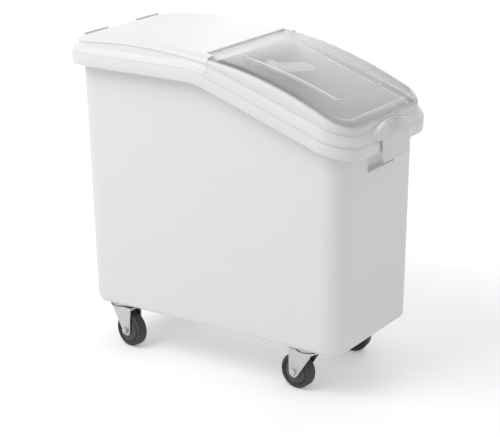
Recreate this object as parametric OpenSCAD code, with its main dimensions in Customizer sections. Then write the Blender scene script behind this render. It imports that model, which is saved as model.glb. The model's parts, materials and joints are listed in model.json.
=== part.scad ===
/* [Tub] */
// Length of the tub at its floor, outside
tub_length = 632; // [560:1:700]
// Width of the tub at its floor, outside
tub_width = 312; // [270:1:380]
// Height of the level rear rim above the ground
rim_height = 658; // [600:1:720]
// Radius of the tub's upright corners
corner_radius = 46; // [36:1:60]
// Thickness of the tub's walls
tub_wall = 4; // [3:0.5:5]
// Thickness of the tub's floor
floor_thickness = 6; // [5:0.5:10]
// Outside radius of the edge round the floor
floor_radius = 10; // [6:1:14]
// Inside radius of the edge round the floor
inner_floor_radius = 8; // [4:1:8]
// Lean of the rear wall in degrees
rear_draft = 1.75; // [0.5:0.05:2.5]
// Lean of the front wall in degrees
front_draft = 0.6; // [0.2:0.05:1.5]
// Lean of the side walls in degrees
side_draft = 0.5; // [0.2:0.05:1.5]

/* [Rim] */
// How far the rim stands out from the wall
rim_overhang = 25; // [20:1:32]
// Height of the rim's turned-down lip
rim_depth = 25; // [20:1:35]
// Thickness of the rim's flange and lip
rim_skin = 4; // [3:0.5:5]
// How far the lip swells beyond its edges
rim_swell = 1; // [0:0.25:2]
// Radius of the rim's outer top edge
rim_round = 2.5; // [1.5:0.25:2.5]
// Radius of the hollow corners under the rim
rim_fillet = 4; // [2:0.5:6]
// Height of the collar that stands up inside the lids
collar_height = 14; // [8:1:16]
// Fall of the front half of the rim in degrees
rim_slope = 18.9; // [14:0.1:20]
// Length over which the rim bends into its slope
slope_bend = 50; // [20:1:80]
// Extra fall of the rim over the front corners in degrees
nose_slope = 6; // [0:0.5:15]
// Length over which the rim bends into the front corners
nose_bend = 40; // [20:1:60]

/* [Finger recess] */
// Width of the finger recess in the front wall
recess_width = 108; // [80:1:140]
// Height of the finger recess below the rim's flange
recess_height = 66; // [45:1:80]
// Depth of the finger recess
recess_depth = 13; // [8:1:20]
// Corner radius of the finger recess
recess_radius = 6; // [2:0.5:12]

/* [Lids] */
// Height of the crest above the rear rim
crest_rise = 42; // [38:0.5:50]
// Place of the joint between the lids, forward of the tub's middle
joint_offset = 4; // [-30:1:30]
// Distance from the joint back to the crest
crest_back = 165; // [120:1:200]
// Radius of the rear cover's lengthwise arch
rear_arch = 1400; // [1100:10:2500]
// Radius of the front lid's lengthwise arch
front_arch = 795; // [700:5:1200]
// Rise of the lids' crowns across their width
crown_rise = 3; // [0:0.5:5]
// How far the lids' edges stand back from the rim's edge
lid_inset = 1; // [0.5:0.25:1.5]
// Thickness of both lids
lid_wall = 3; // [2.5:0.25:3.5]
// Height of the upright lip round the lids' lower edges
lid_lip = 5; // [3:0.5:7]
// Width of the steps moulded into the lids' sides
lid_step = 2.25; // [1:0.25:2.5]
// Height of the rounded shoulder above the crease
shoulder_height = 8.5; // [7:0.5:12]
// Extra height of the shoulder at the joint
shoulder_swell = 5; // [0:0.5:6]
// Height of the crease above the rim
crease_rise = 24; // [20:0.5:28]
// Extra height of the crease over the rear cover
crease_lift = 8; // [4:0.5:10]
// How far the crease stands out from the tub's wall
crease_out = 12; // [8:0.5:14]
// How far the shoulder reaches inside the tub's wall
shoulder_in = 9; // [6:0.5:14]
// Gap between the front lid and the rim
lid_gap = 0.4; // [0.3:0.05:0.8]

/* [Front pull] */
// Width of the pull's tongue
pull_width = 98; // [70:1:120]
// How far the tongue hangs below the lid's front edge
pull_drop = 47; // [30:1:55]
// How far the pull stands out from the lid's front
pull_out = 7; // [5:0.5:10]
// Width over which the tongue's lower corners run out
pull_corner = 6; // [4:0.5:10]
// Width over which the pull blends into the front on each side
pull_blend = 18; // [12:1:40]
// How far the pull's arched face rises above the lid's lip
pull_lift = 24; // [8:1:24]
// How far the pull's face leans back at the top of its arch
pull_lean = 8; // [4:0.5:10]

/* [Raised panel] */
// Distance from the joint to the panel's arched rear end
panel_start = 30; // [24:1:50]
// Length of the raised panel
panel_length = 236; // [180:1:240]
// Half width of the panel where its arched end is widest
panel_rear_half = 110; // [80:1:120]
// Half width of the panel at its straight front end
panel_front_half = 88; // [70:1:100]
// Radius of the panel's arched end
panel_arch = 184; // [130:1:220]
// Height of the panel above the lid
panel_rise = 4; // [3:0.5:8]
// Width of the panel's sloping edge
panel_edge = 2; // [1.5:0.5:5]
// Length of the scoop clip under the panel
clip_length = 103; // [80:1:120]
// Width of the scoop clip
clip_width = 44; // [30:1:50]
// Thickness of the scoop clip
clip_thickness = 3; // [2:0.5:5]
// Drop of the scoop clip's tongue below its foot
clip_drop = 12; // [8:0.5:16]
// Distance from the joint to the middle of the clip's foot
clip_ahead = 113; // [100:1:140]
// Turn of the clip from straight across the lid, towards the front
clip_turn = 21; // [0:1:30]

/* [Hinge] */
// Diameter of the hinge pins
pin_diameter = 6; // [4:0.5:7]
// Length of the hinge pins
pin_length = 34; // [28:1:40]
// Radius of the lid's hinge barrel
barrel_radius = 6; // [5:0.25:6.5]
// Depth of the hinge axis below the top of the lids
hinge_drop = 6.5; // [6.5:0.25:8]
// Width of each hinge ear on the cover
ear_width = 17; // [14:0.5:20]
// Gap at the ends and the front of the ears
ear_gap = 0.6; // [0.4:0.1:1]
// Radial play of the pins in the lid
pin_play = 0.05; // [0.02:0.01:0.1]

/* [Rest strips] */
// Length of each rubber strip on the cover's rear edge
strip_length = 80; // [50:1:90]
// Width of the rubber strips
strip_width = 5; // [3:0.5:7]
// Height of the rubber strips above their slots
strip_height = 5; // [4:0.5:9]
// Distance between the middles of the two strips
strip_spacing = 180; // [150:1:190]
// Distance of the strips from the rear wall
strip_inset = 3; // [2:0.5:5]

/* [Casters] */
// Height of the casters from the ground to the tub
caster_height = 100; // [92:1:115]
// Distance of the front swivel axes from the foot of the front wall
front_caster_inset = 88; // [60:1:120]
// Distance of the rear swivel axes from the foot of the rear wall
rear_caster_inset = 63; // [60:1:120]
// Distance of the swivel axes from the foot of the side walls
side_caster_inset = 36; // [36:1:60]
// Distance from the swivel axis back to the axle
trail = 28; // [20:1:34]
// Diameter of the wheels
wheel_diameter = 75; // [65:1:78]
// Width of the tyres
tyre_width = 25; // [20:0.5:26]
// Diameter of the hub under the tyre
hub_diameter = 52; // [42:1:56]
// Width of the hub
hub_width = 27; // [22:0.5:28]
// Turn of the front right caster in degrees
front_right_turn = -7; // [-180:1:180]
// Turn of the front left caster in degrees
front_left_turn = 8; // [-180:1:180]
// Turn of the rear right caster in degrees
rear_right_turn = 168; // [-180:1:180]
// Turn of the rear left caster in degrees
rear_left_turn = 174; // [-180:1:180]
// Length of the caster's top plate
plate_length = 80; // [76:1:90]
// Width of the caster's top plate
plate_width = 50; // [50:1:60]
// Thickness of the caster's top plate
plate_thickness = 3; // [2.5:0.25:4]
// Bolt spacing along the top plate
bolt_spacing_x = 60; // [56:1:66]
// Bolt spacing across the top plate
bolt_spacing_y = 28; // [26:1:36]
// Diameter of the plate bolts
bolt_diameter = 6; // [5:0.5:6]
// Thickness of the fork's steel
fork_steel = 2.5; // [2:0.25:3]
// Reach of the fork's legs behind the axle
leg_behind = 13; // [12:0.5:16]
// Reach of the fork's legs ahead of the swivel axis
leg_ahead = 13; // [8:0.5:20]
// Radius of the legs' lower ends
leg_round = 12; // [10:0.5:14]
// Diameter of the fork's round head
fork_head = 54; // [50:1:58]
// Diameter of the swivel rivet
kingpin_diameter = 10; // [8:0.5:12]
// Diameter of the bearing balls
ball_diameter = 5.6; // [4.5:0.1:6]
// Diameter of the ring of balls
ball_circle = 34; // [30:0.5:36]
// Diameter of the axle bolts
axle_diameter = 8; // [6:0.5:8]

/* [Hidden] */
$fn = 64;

// Clearance of fixed pieces in their holes, and a small overlap for joined shapes
fit = 0.05;
overlap = 1;
corner_steps = 8;
corner_turn = 90 / corner_steps;

// Colours as the eye sees them
white_plastic = "#f2f2f0";
clear_plastic = [0.86, 0.89, 0.9, 0.45];
zinc_steel = "#c9ccce";
dark_rubber = "#4a4a4c";
grey_plastic = "#6a6a6c";

// The walls, counted so that the whole object's box is centred on the origin
underside = caster_height;
floor_top = underside + floor_thickness;
lid_reach = rim_overhang - lid_inset;
rear_reach = tub_length / 2 + tan(rear_draft) * (rim_height - rim_depth / 2 - underside)
    + rim_overhang + rim_swell;
front_reach = tub_length / 2 + tan(front_draft) * (rim_height - underside)
    + lid_reach + pull_out;
middle_x = (rear_reach - front_reach) / 2;
function rear_wall_x(z) = middle_x - tub_length / 2 - tan(rear_draft) * (z - underside);
function front_wall_x(z) = middle_x + tub_length / 2 + tan(front_draft) * (z - underside);
function half_width(z) = tub_width / 2 + tan(side_draft) * (z - underside);

// A station is [share of the way from the rear to the front corners, side, outward angle]
function core_x(share, z) =
    let (rear = rear_wall_x(z) + corner_radius, front = front_wall_x(z) - corner_radius)
    rear + (front - rear) * share;
function core_y(z) = half_width(z) - corner_radius;
function spot(station, out, z) = [
    core_x(station[0], z) + (corner_radius + out) * cos(station[2]),
    core_y(z) * station[1] + (corner_radius + out) * sin(station[2]),
    z
];
function share_at(x) =
    let (rear = core_x(0, rim_height), front = core_x(1, rim_height)) (x - rear) / (front - rear);
function corner(share, side, start) =
    [for (step = [0:corner_steps]) [share, side, start + step * corner_turn]];
function reversed(list) = [for (i = [len(list) - 1:-1:0]) list[i]];
function mirrored(half) = concat([for (v = half) -v], [for (i = [len(half) - 2:-1:0]) half[i]]);

// A line that bends smoothly from level to a slope of one
function bend(x, start, width) =
    x < start - width / 2 ? 0 :
    x > start + width / 2 ? x - start :
    pow(x - start + width / 2, 2) / (2 * width);
function ramp(value, low, high) =
    let (t = max(0, min(1, (value - low) / (high - low)))) t * t * (3 - 2 * t);

// The rim's height along the tub, and the height of the lids' top edges
joint_x = middle_x + joint_offset;
slope_back = 16;
slope_start = joint_x - slope_back;
nose_start = front_wall_x(rim_height) - corner_radius;
function rim_z(x) = rim_height
    - tan(rim_slope) * bend(x, slope_start, slope_bend)
    - tan(nose_slope) * bend(x, nose_start, nose_bend);
edge_crest = rim_height + crest_rise - crown_rise;
crest_x = joint_x - crest_back;
joint_top = edge_crest - pow(crest_back, 2) / (2 * rear_arch);
joint_fall = crest_back / rear_arch;
function lid_top(x) = x < joint_x ?
    edge_crest - pow(x - crest_x, 2) / (2 * rear_arch) :
    joint_top - joint_fall * (x - joint_x) - pow(x - joint_x, 2) / (2 * front_arch);
hinge_z = joint_top - hinge_drop;

// Triangles between two rows of points, and over a strip of such rows
function quad(a, b, c, d) = [[a, b, c], [a, c, d]];
function flat(lists) = [for (list = lists) for (item = list) item];

// The tub's outline, once round, and its section from the floor over the rim to the inside
bend_points = [for (t = [-0.5:0.25:0.5]) slope_start + t * slope_bend];
nose_points = [nose_start - nose_bend / 2, nose_start - nose_bend / 4];
side_points = concat(bend_points, [(slope_start + nose_start) / 2], nose_points);
tub_stations = concat(
    [for (x = side_points) [share_at(x), -1, -90]],
    corner(1, -1, -90),
    [for (side = [-0.5:0.5:0.5]) [1, side, 0]],
    corner(1, 1, 0),
    [for (x = reversed(side_points)) [share_at(x), 1, 90]],
    corner(0, 1, 90),
    [for (side = [0.5:-0.5:-0.5]) [0, side, 180]],
    corner(0, -1, 180)
);
function arc(centre, radius, start, end, steps) =
    [for (i = [0:steps]) let (a = start + (end - start) * i / steps)
        [centre[0] + radius * cos(a), centre[1] + radius * sin(a)]];
outer_floor = arc([-floor_radius, underside + floor_radius], floor_radius, -90, 0, 3);
inner_floor = arc([-tub_wall - inner_floor_radius, underside + floor_thickness + inner_floor_radius],
    inner_floor_radius, 0, -90, 3);
rim_section = concat(
    arc([rim_fillet, -rim_skin - rim_fillet], rim_fillet, 180, 90, 2),
    arc([rim_overhang - rim_skin - rim_fillet, -rim_skin - rim_fillet], rim_fillet, 90, 0, 2),
    arc([rim_overhang - rim_skin / 2, -rim_depth + rim_skin / 2], rim_skin / 2, 180, 360, 4),
    [[rim_overhang + rim_swell, -rim_depth / 2]],
    arc([rim_overhang - rim_round, -rim_round], rim_round, 0, 90, 3),
    [[0, 0]],
    arc([-tub_wall / 2, collar_height - tub_wall / 2], tub_wall / 2, 0, 180, 4)
);
function tub_ring(station) =
    let (base = rim_z(spot(station, 0, rim_height)[0]))
    concat(
        [for (p = outer_floor) spot(station, p[0], p[1])],
        [for (p = rim_section) spot(station, p[0], base + p[1])],
        [for (p = inner_floor) spot(station, p[0], p[1])]
    );

module tub_shell() {
    count = len(tub_stations);
    rings = len(outer_floor) + len(rim_section) + len(inner_floor);
    middles = [[middle_x, 0, underside], [middle_x, 0, floor_top]];
    points = concat(flat([for (station = tub_stations) tub_ring(station)]), middles);
    sides = [for (k = [0:count - 1]) for (j = [0:rings - 2])
        let (next = (k + 1) % count)
        each quad(k * rings + j, k * rings + j + 1, next * rings + j + 1, next * rings + j)];
    under = [for (k = [0:count - 1]) [k * rings, (k + 1) % count * rings, count * rings]];
    inside = [for (k = [0:count - 1])
        [(k + 1) % count * rings + rings - 1, k * rings + rings - 1, count * rings + 1]];
    polyhedron(points, concat(sides, under, inside), convexity = 6);
}

front_rim_z = rim_z(front_wall_x(rim_height));
recess_top = front_rim_z - rim_skin * 7 / 8;
recess_bottom = recess_top - recess_height;
recess_back = front_wall_x(recess_bottom) - recess_depth;

// A block with rounded upright corners when seen from the front
module front_block(back, front, width, low, high, radius) {
    translate([back, 0, (low + high) / 2])
        rotate([90, 0, 90])
        linear_extrude(front - back)
        union() {
            square([width - 2 * radius, high - low], center = true);
            square([width, high - low - 2 * radius], center = true);
            for (sx = [-1, 1], sy = [-1, 1])
                translate([sx * (width / 2 - radius), sy * ((high - low) / 2 - radius)])
                circle(radius);
        }
}

module at_bolts() {
    for (c = [0:3])
        translate([caster_x(c), caster_y(c), 0])
        for (sx = [-1, 1], sy = [-1, 1])
        translate([sx * bolt_spacing_x / 2, sy * bolt_spacing_y / 2, 0])
        children();
}

module tub() {
    color(white_plastic)
    difference() {
        union() {
            tub_shell();
            front_block(recess_back - tub_wall, recess_back + recess_depth - tub_wall / 2,
                recess_width + 2 * tub_wall, recess_bottom - tub_wall, recess_top + rim_skin / 2,
                recess_radius + tub_wall);
        }
        front_block(recess_back, recess_back + recess_depth + rim_fillet, recess_width,
            recess_bottom, recess_top, recess_radius);
        at_bolts()
            translate([0, 0, underside - overlap])
            cylinder(d = bolt_diameter + 2 * fit, h = floor_thickness + 2 * overlap);
    }
}

// One upright section of a lid, from its lower edge to its top edge, set in by its wall or not
shoulder_turns = [22.5, 45, 67.5, 90];
function pull_share(y) = 1 - ramp(abs(y), pull_width / 2 + pull_corner,
    pull_width / 2 + pull_corner + pull_blend);
function tongue_share(y) = 1 - ramp(abs(y), pull_width / 2, pull_width / 2 + pull_corner);
function arch_share(y) = sqrt(max(0, 1 - pow(y / (pull_width / 2 + pull_corner + pull_blend), 2)));
function shoulder_at(x) = shoulder_height + shoulder_swell * max(0, 1 - abs(x - joint_x) / crest_back);
function crease_at(x) = rim_z(x) + crease_rise + crease_lift * max(0, min(1, (joint_x - x) / crest_back));
function cove_share(x) = max(0, min(1, (nose_start - x) / (nose_start - joint_x)));
ledge_sink = 0.4;
cove_in = 2 / 3;
cove_deep = 0.42;
function lid_section(station, inset, gap) =
    let (
        foot = spot(station, 0, rim_height),
        at_front = station[0] == 1 && station[2] == 0,
        out = at_front ? pull_out * pull_share(foot[1]) : 0,
        drop = at_front ? pull_drop * tongue_share(foot[1]) : 0,
        arch = at_front ? arch_share(foot[1]) : 0,
        sunk = inset * arch,
        rim = rim_z(foot[0]),
        base = rim + gap,
        lip = base + lid_lip + pull_lift * arch,
        crease = min(lid_top(foot[0]) - shoulder_at(foot[0]), max(crease_at(foot[0]), lip + 2 * lid_step)),
        top = lid_top(spot(station, -shoulder_in, rim_height)[0]),
        edge = lid_reach + out - inset,
        upper = edge - pull_lean * arch,
        ledge = [upper - lid_step, lip + lid_step - inset * max(arch, ledge_sink)],
        under = [crease_out - lid_step - inset, crease - lid_step * 3 / 4 - sunk],
        cove_up = cove_in - cove_deep * cove_share(foot[0]),
        cove = [
            ledge[0] + (under[0] - ledge[0]) * cove_in,
            ledge[1] + (under[1] - ledge[1]) * cove_up
        ]
    )
    [for (p = concat(
        [
            [edge, base - drop],
            [edge, base + lid_lip / 2],
            [upper, lip - sunk],
            ledge,
            cove,
            under,
            [crease_out - inset, crease - sunk]
        ],
        [for (a = shoulder_turns) [
            -shoulder_in + (crease_out + shoulder_in - inset) * cos(a),
            crease - sunk + (top - crease + sunk - inset) * sin(a)
        ]]))
        let (place = spot(station, p[0], rim_height)) [place[0], place[1], p[1]]];
section_points = 7 + len(shoulder_turns);

// The raised panel's half width at a place along the front lid
panel_x = joint_x + panel_start;
panel_end = min(panel_x + panel_length, nose_start - 2 * panel_edge);
panel_back = 2;
panel_least = 6;
function panel_half(x) =
    let (
        along = max(0, min(panel_arch, x - panel_x)),
        arch = sqrt(pow(panel_arch, 2) - pow(panel_arch - along, 2)),
        taper = (x - panel_x) / (panel_end - panel_x),
        straight = panel_rear_half + (panel_front_half - panel_rear_half) * max(0, min(1, taper))
    )
    max(panel_least, min(arch, straight));
function on_panel(x) = x > panel_x + panel_edge / 3 && x < panel_end + panel_edge / 3;

// Half the columns across a lid's top, from its edge to its middle, as distances from the middle
function plain_columns(half) = [for (i = [0:8]) half * (1 - i / 8)];
function panel_columns(half, panel) = concat(
    [half, (half + panel + panel_edge) / 2, panel + panel_edge, panel],
    [for (share = [0.8, 0.6, 0.4, 0.2, 0]) panel * share]);
front_columns = [core_y(rim_height), pull_width / 2 + pull_corner + pull_blend,
    pull_width / 2 + pull_corner + pull_blend * 2 / 3, pull_width / 2 + pull_corner + pull_blend / 3,
    pull_width / 2 + pull_corner, pull_width / 2, pull_width / 3, pull_width / 6, 0];
column_count = 2 * len(front_columns) - 2;

// The points between the two edges of a lid's top, one row for each pair of stations
function lid_row(station, inset, panelled) =
    let (
        edge = spot(station, -shoulder_in, rim_height),
        half = abs(edge[1]),
        turned = abs(sin(station[2])),
        panel = panel_half(edge[0]) - (panelled ? inset / 2 : 0),
        held = panel_columns(half, panel),
        loose = [for (v = front_columns) v * half / core_y(rim_height)],
        columns = panelled ?
            [for (i = [0:len(held) - 1]) held[i] * turned + loose[i] * (1 - turned)] :
            plain_columns(half),
        fade = turned * ramp(abs(edge[0] - joint_x), 10, 90),
        side = panelled ? 1 : -1,
        all = mirrored(columns)
    )
    [for (i = [1:column_count - 1])
        let (
            y = all[i],
            raised = panelled && on_panel(edge[0]) && i > 2 && i < column_count - 2,
            rise = crown_rise * fade * (1 - pow(y / half, 2)) + (raised ? panel_rise : 0)
        )
        [edge[0], side * y, lid_top(edge[0]) + rise - inset]];

// A lid: outer and inner skins over the same stations, closed along the lower edge and the joint
module lid_shell(outer, inner, panelled, gap) {
    count = len(outer);
    rings = section_points;
    last = (count - column_count) / 2 - 0.5;
    rows = [for (k = [0:last - 1]) k];
    skin_size = count * rings + len(rows) * (column_count - 1);
    function skin(stations, inset) = concat(
        flat([for (station = stations) lid_section(station, inset, gap)]),
        flat([for (k = rows) lid_row(stations[k], inset, panelled)]));
    function edge(k, j) = k * rings + j;
    function cell(k, i) =
        i == 0 ? edge(k, rings - 1) :
        i == column_count ? edge(count - 1 - k, rings - 1) :
        k == last ? edge(k + i, rings - 1) :
        count * rings + k * (column_count - 1) + i - 1;
    outside = concat(
        [for (k = [0:count - 2]) for (j = [0:rings - 2])
            each quad(edge(k, j), edge(k, j + 1), edge(k + 1, j + 1), edge(k + 1, j))],
        [for (k = rows) for (i = [0:column_count - 1])
            each quad(cell(k, i), cell(k, i + 1), cell(k + 1, i + 1), cell(k + 1, i))]);
    inside = [for (face = outside) [for (v = reversed(face)) v + skin_size]];
    lower = [for (k = [0:count - 2])
        each quad(edge(k, 0), edge(k + 1, 0), edge(k + 1, 0) + skin_size, edge(k, 0) + skin_size)];
    profile = concat(
        [for (j = [0:rings - 1]) edge(0, j)],
        [for (i = [1:column_count - 1]) cell(0, i)],
        [for (j = [rings - 1:-1:0]) edge(count - 1, j)]);
    joint = [for (n = [0:len(profile) - 2])
        each quad(profile[n + 1], profile[n], profile[n] + skin_size, profile[n + 1] + skin_size)];
    polyhedron(concat(skin(outer, 0), skin(inner, lid_wall)), concat(outside, inside, lower, joint),
        convexity = 8);
}

// Sorted places along a side, each a little apart from the next
function sorted(list) = len(list) < 2 ? list : concat(
    sorted([for (i = [1:len(list) - 1]) if (list[i] < list[0]) list[i]]),
    [list[0]],
    sorted([for (i = [1:len(list) - 1]) if (list[i] >= list[0]) list[i]]));
function spaced(list) =
    let (all = sorted(list))
    [for (i = [0:len(all) - 1]) if (i == 0 || all[i] - all[max(0, i - 1)] > 0.5) all[i]];

// The hinge: a barrel on the lid between two ears of the cover
barrel_half = half_width(rim_height) - ear_width + lid_wall - overlap;
ear_nose = 3.4;
barrel_room = 1.5;
ear_front = barrel_radius + ear_nose;
joint_back = barrel_radius + barrel_room;
joint_chamfer = 3.5;
apron_reach = 16;
apron_lip = barrel_radius + 3;
apron_drop = barrel_radius + barrel_room;
module at_hinge(y) {
    translate([joint_x, y, hinge_z])
        rotate([90, 0, 0])
        children();
}
module along_width(half) {
    at_hinge(half)
        linear_extrude(2 * half)
        children();
}

// The cover runs from the far joint round the rear to the near joint
cover_steps = 6;
cover_front = joint_x + ear_front;
cover_level = slope_start - slope_bend / 2;
cover_side = reversed(spaced(concat(
    [cover_front],
    [for (x = bend_points) if (x < cover_front) x],
    [for (i = [1:cover_steps - 1])
        cover_level + (core_x(0, rim_height) - cover_level) * i / cover_steps])));
cover_stations = concat(
    [for (x = cover_side) [share_at(x), 1, 90]],
    corner(0, 1, 90),
    [for (v = mirrored(plain_columns(1))) if (abs(v) < 1) [0, -v, 180]],
    corner(0, -1, 180),
    [for (x = reversed(cover_side)) [share_at(x), -1, 270]]
);

// The strips stand in slots cut level into the cover's rear edge
strip_x = rear_wall_x(rim_height) + strip_inset;
strip_bevel = 1;
strip_floor = lid_top(rear_wall_x(rim_height) + shoulder_in) - lid_wall * 3 / 4;
module at_strips() {
    for (side = [-1, 1])
        translate([strip_x, side * strip_spacing / 2, strip_floor])
        children();
}

module rear_cover() {
    color(white_plastic)
    difference() {
        union() {
            difference() {
                lid_shell(cover_stations, cover_stations, false, 0);
                along_width(barrel_half + ear_gap)
                    polygon([
                        [-joint_back, -4 * barrel_radius],
                        [-joint_back, barrel_radius / 3],
                        [-joint_back - joint_chamfer, hinge_drop + 2 * overlap],
                        [ear_front + overlap, hinge_drop + 2 * overlap],
                        [ear_front + overlap, -4 * barrel_radius]
                    ]);
                along_width(tub_width)
                    difference() {
                        square([ear_front + overlap, hinge_drop + overlap]);
                        circle(ear_front);
                    }
            }
            along_width(barrel_half - ear_gap)
                polygon([
                    [-apron_reach, hinge_drop],
                    [-apron_reach, -apron_drop - lid_wall],
                    [apron_lip, -apron_drop - lid_wall],
                    [apron_lip, -apron_drop],
                    [-apron_reach + lid_wall, -apron_drop],
                    [-apron_reach + lid_wall, hinge_drop]
                ]);
            for (side = [-1, 1])
                at_hinge(side * (barrel_half + ear_gap + ear_width / 2))
                cylinder(r = barrel_radius - overlap, h = ear_width, center = true);
        }
        for (side = [-1, 1])
            at_hinge(side * barrel_half)
            cylinder(d = pin_diameter + 2 * fit, h = pin_length, center = true);
        at_strips()
            translate([-strip_width / 2 - fit, -strip_length / 2 - fit, 0])
            cube([strip_width + 2 * fit, strip_length + 2 * fit, strip_height]);
    }
}

module lid_rest_strips() {
    color(dark_rubber)
    at_strips()
        translate([-strip_width / 2, -strip_length / 2, 0])
        difference() {
            cube([strip_width, strip_length, strip_height]);
            for (side = [0, 1])
                translate([side * strip_width, strip_length / 2, strip_height])
                rotate([0, 45, 0])
                cube([strip_bevel, strip_length + 2 * overlap, strip_bevel], center = true);
        }
}

module hinge_pin(side) {
    color(zinc_steel)
    at_hinge(side * barrel_half)
        cylinder(d = pin_diameter, h = pin_length, center = true);
}
module right_hinge_pin() hinge_pin(-1);
module left_hinge_pin() hinge_pin(1);

// The front lid runs from the near joint round the front to the far joint; its inner skin is
// set in at the panel's ends
function lid_places(inset) = spaced(concat(
    [joint_x],
    [for (x = bend_points) if (x > joint_x && x < panel_x - panel_back) x],
    [panel_x - overlap + inset],
    [for (along = [panel_back, 3 * panel_back, 7 * panel_back, 13 * panel_back, 19 * panel_back])
        panel_x + along + inset],
    [for (share = [0.32, 0.48, 0.64, 0.8]) panel_x + (panel_end - panel_x) * share],
    nose_points,
    [panel_end - inset, panel_end + panel_edge - inset]));
function lid_line(inset) = concat(
    [for (x = lid_places(inset)) [share_at(x), -1, -90]],
    corner(1, -1, -90),
    [for (v = mirrored(front_columns)) if (abs(v) < core_y(rim_height)) [1, v / core_y(rim_height), 0]],
    corner(1, 1, 0),
    [for (x = reversed(lid_places(inset))) [share_at(x), 1, 90]]
);
module clear_shell() {
    lid_shell(lid_line(0), lid_line(lid_wall / 2), true, lid_gap);
}

module front_lid() {
    notch_front = ear_front + ear_gap;
    color(clear_plastic)
    difference() {
        union() {
            difference() {
                clear_shell();
                for (side = [0, 1])
                    mirror([0, side, 0])
                    translate([joint_x - overlap, barrel_half, rim_height - tub_width / 2])
                    cube([notch_front + overlap, tub_width, tub_width]);
            }
            at_hinge(0)
                cylinder(r = barrel_radius, h = 2 * barrel_half, center = true);
        }
        for (side = [-1, 1])
            at_hinge(side * barrel_half)
            cylinder(d = pin_diameter + 2 * pin_play, h = pin_length + 2 * fit, center = true);
    }
}

// The scoop clip lies along the slope under the panel, on a foot at the right-hand edge
clip_x = joint_x + clip_ahead;
clip_slope = atan(joint_fall + clip_ahead / front_arch);
clip_top = lid_top(clip_x) + panel_rise + crown_rise / 2 - lid_wall / 2;
clip_foot = 14;
clip_edge = 3;
clip_start = clip_edge - panel_front_half;
module scoop_clip() {
    color(clear_plastic)
    difference() {
        translate([clip_x, clip_start, clip_top])
            rotate([0, clip_slope, 0])
            rotate([0, 0, -clip_turn])
            union() {
                translate([-clip_width / 2, 0, -clip_drop])
                    cube([clip_width, clip_foot, clip_drop]);
                translate([-clip_width / 2, 0, -clip_drop])
                    cube([clip_width, clip_length - clip_width / 2, clip_thickness]);
                translate([0, clip_length - clip_width / 2, -clip_drop])
                    cylinder(d = clip_width, h = clip_thickness);
            }
        clear_shell();
    }
}

// The casters: front right, front left, rear right, rear left
function caster_x(c) = c < 2 ?
    front_wall_x(underside) - front_caster_inset :
    rear_wall_x(underside) + rear_caster_inset;
function caster_y(c) = (c % 2 == 0 ? -1 : 1) * (half_width(underside) - side_caster_inset);
turns = [front_right_turn, front_left_turn, rear_right_turn, rear_left_turn];
module at_caster(c) {
    translate([caster_x(c), caster_y(c), 0]) children();
}
module at_fork(c) {
    at_caster(c) rotate([0, 0, turns[c]]) children();
}
module at_wheel(c) {
    at_fork(c)
        translate([-trail, 0, wheel_diameter / 2])
        rotate([90, 0, 0])
        children();
}

// Heights and gaps in the swivel head
plate_bottom = underside - plate_thickness;
ball_gap = 0.4;
fork_top = plate_bottom - ball_diameter - ball_gap;
swivel_gap = 0.3;
skirt_steel = 2.5;
skirt_radius = (ball_circle + ball_diameter) / 2 + skirt_steel;
skirt_depth = ball_diameter - 2 * swivel_gap;
rivet_head = kingpin_diameter + 8;
rivet_head_height = 3.2;
ball_count = 14;

module caster_plate(c) {
    round_corner = 6;
    color(zinc_steel)
    at_caster(c)
    difference() {
        union() {
            translate([0, 0, plate_bottom])
                linear_extrude(plate_thickness)
                union() {
                    square([plate_length - 2 * round_corner, plate_width], center = true);
                    square([plate_length, plate_width - 2 * round_corner], center = true);
                    for (sx = [-1, 1], sy = [-1, 1])
                        translate([sx * (plate_length / 2 - round_corner), sy * (plate_width / 2 - round_corner)])
                        circle(round_corner);
                }
            translate([0, 0, plate_bottom - skirt_depth])
                difference() {
                    cylinder(r = skirt_radius + skirt_steel, h = skirt_depth + overlap);
                    translate([0, 0, -overlap])
                        cylinder(r = skirt_radius, h = skirt_depth + overlap);
                }
        }
        translate([0, 0, plate_bottom - overlap])
            cylinder(d = kingpin_diameter + 2 * fit, h = plate_thickness + 2 * overlap);
        for (sx = [-1, 1], sy = [-1, 1])
            translate([sx * bolt_spacing_x / 2, sy * bolt_spacing_y / 2, plate_bottom - overlap])
            cylinder(d = bolt_diameter + 2 * fit, h = plate_thickness + 2 * overlap);
    }
}

module kingpin(c) {
    head_top = fork_top - fork_steel - swivel_gap;
    color(zinc_steel)
    at_caster(c)
        rotate_extrude()
        polygon([
            [0, head_top - rivet_head_height],
            [rivet_head / 2 - 1, head_top - rivet_head_height],
            [rivet_head / 2, head_top - rivet_head_height + 1],
            [rivet_head / 2, head_top],
            [kingpin_diameter / 2, head_top],
            [kingpin_diameter / 2, underside],
            [0, underside]
        ]);
}

module balls(c) {
    color(zinc_steel)
    at_caster(c)
        for (i = [0:ball_count - 1])
        rotate([0, 0, i * 360 / ball_count])
        translate([ball_circle / 2, 0, plate_bottom - ball_diameter / 2])
        sphere(d = ball_diameter);
}

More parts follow.
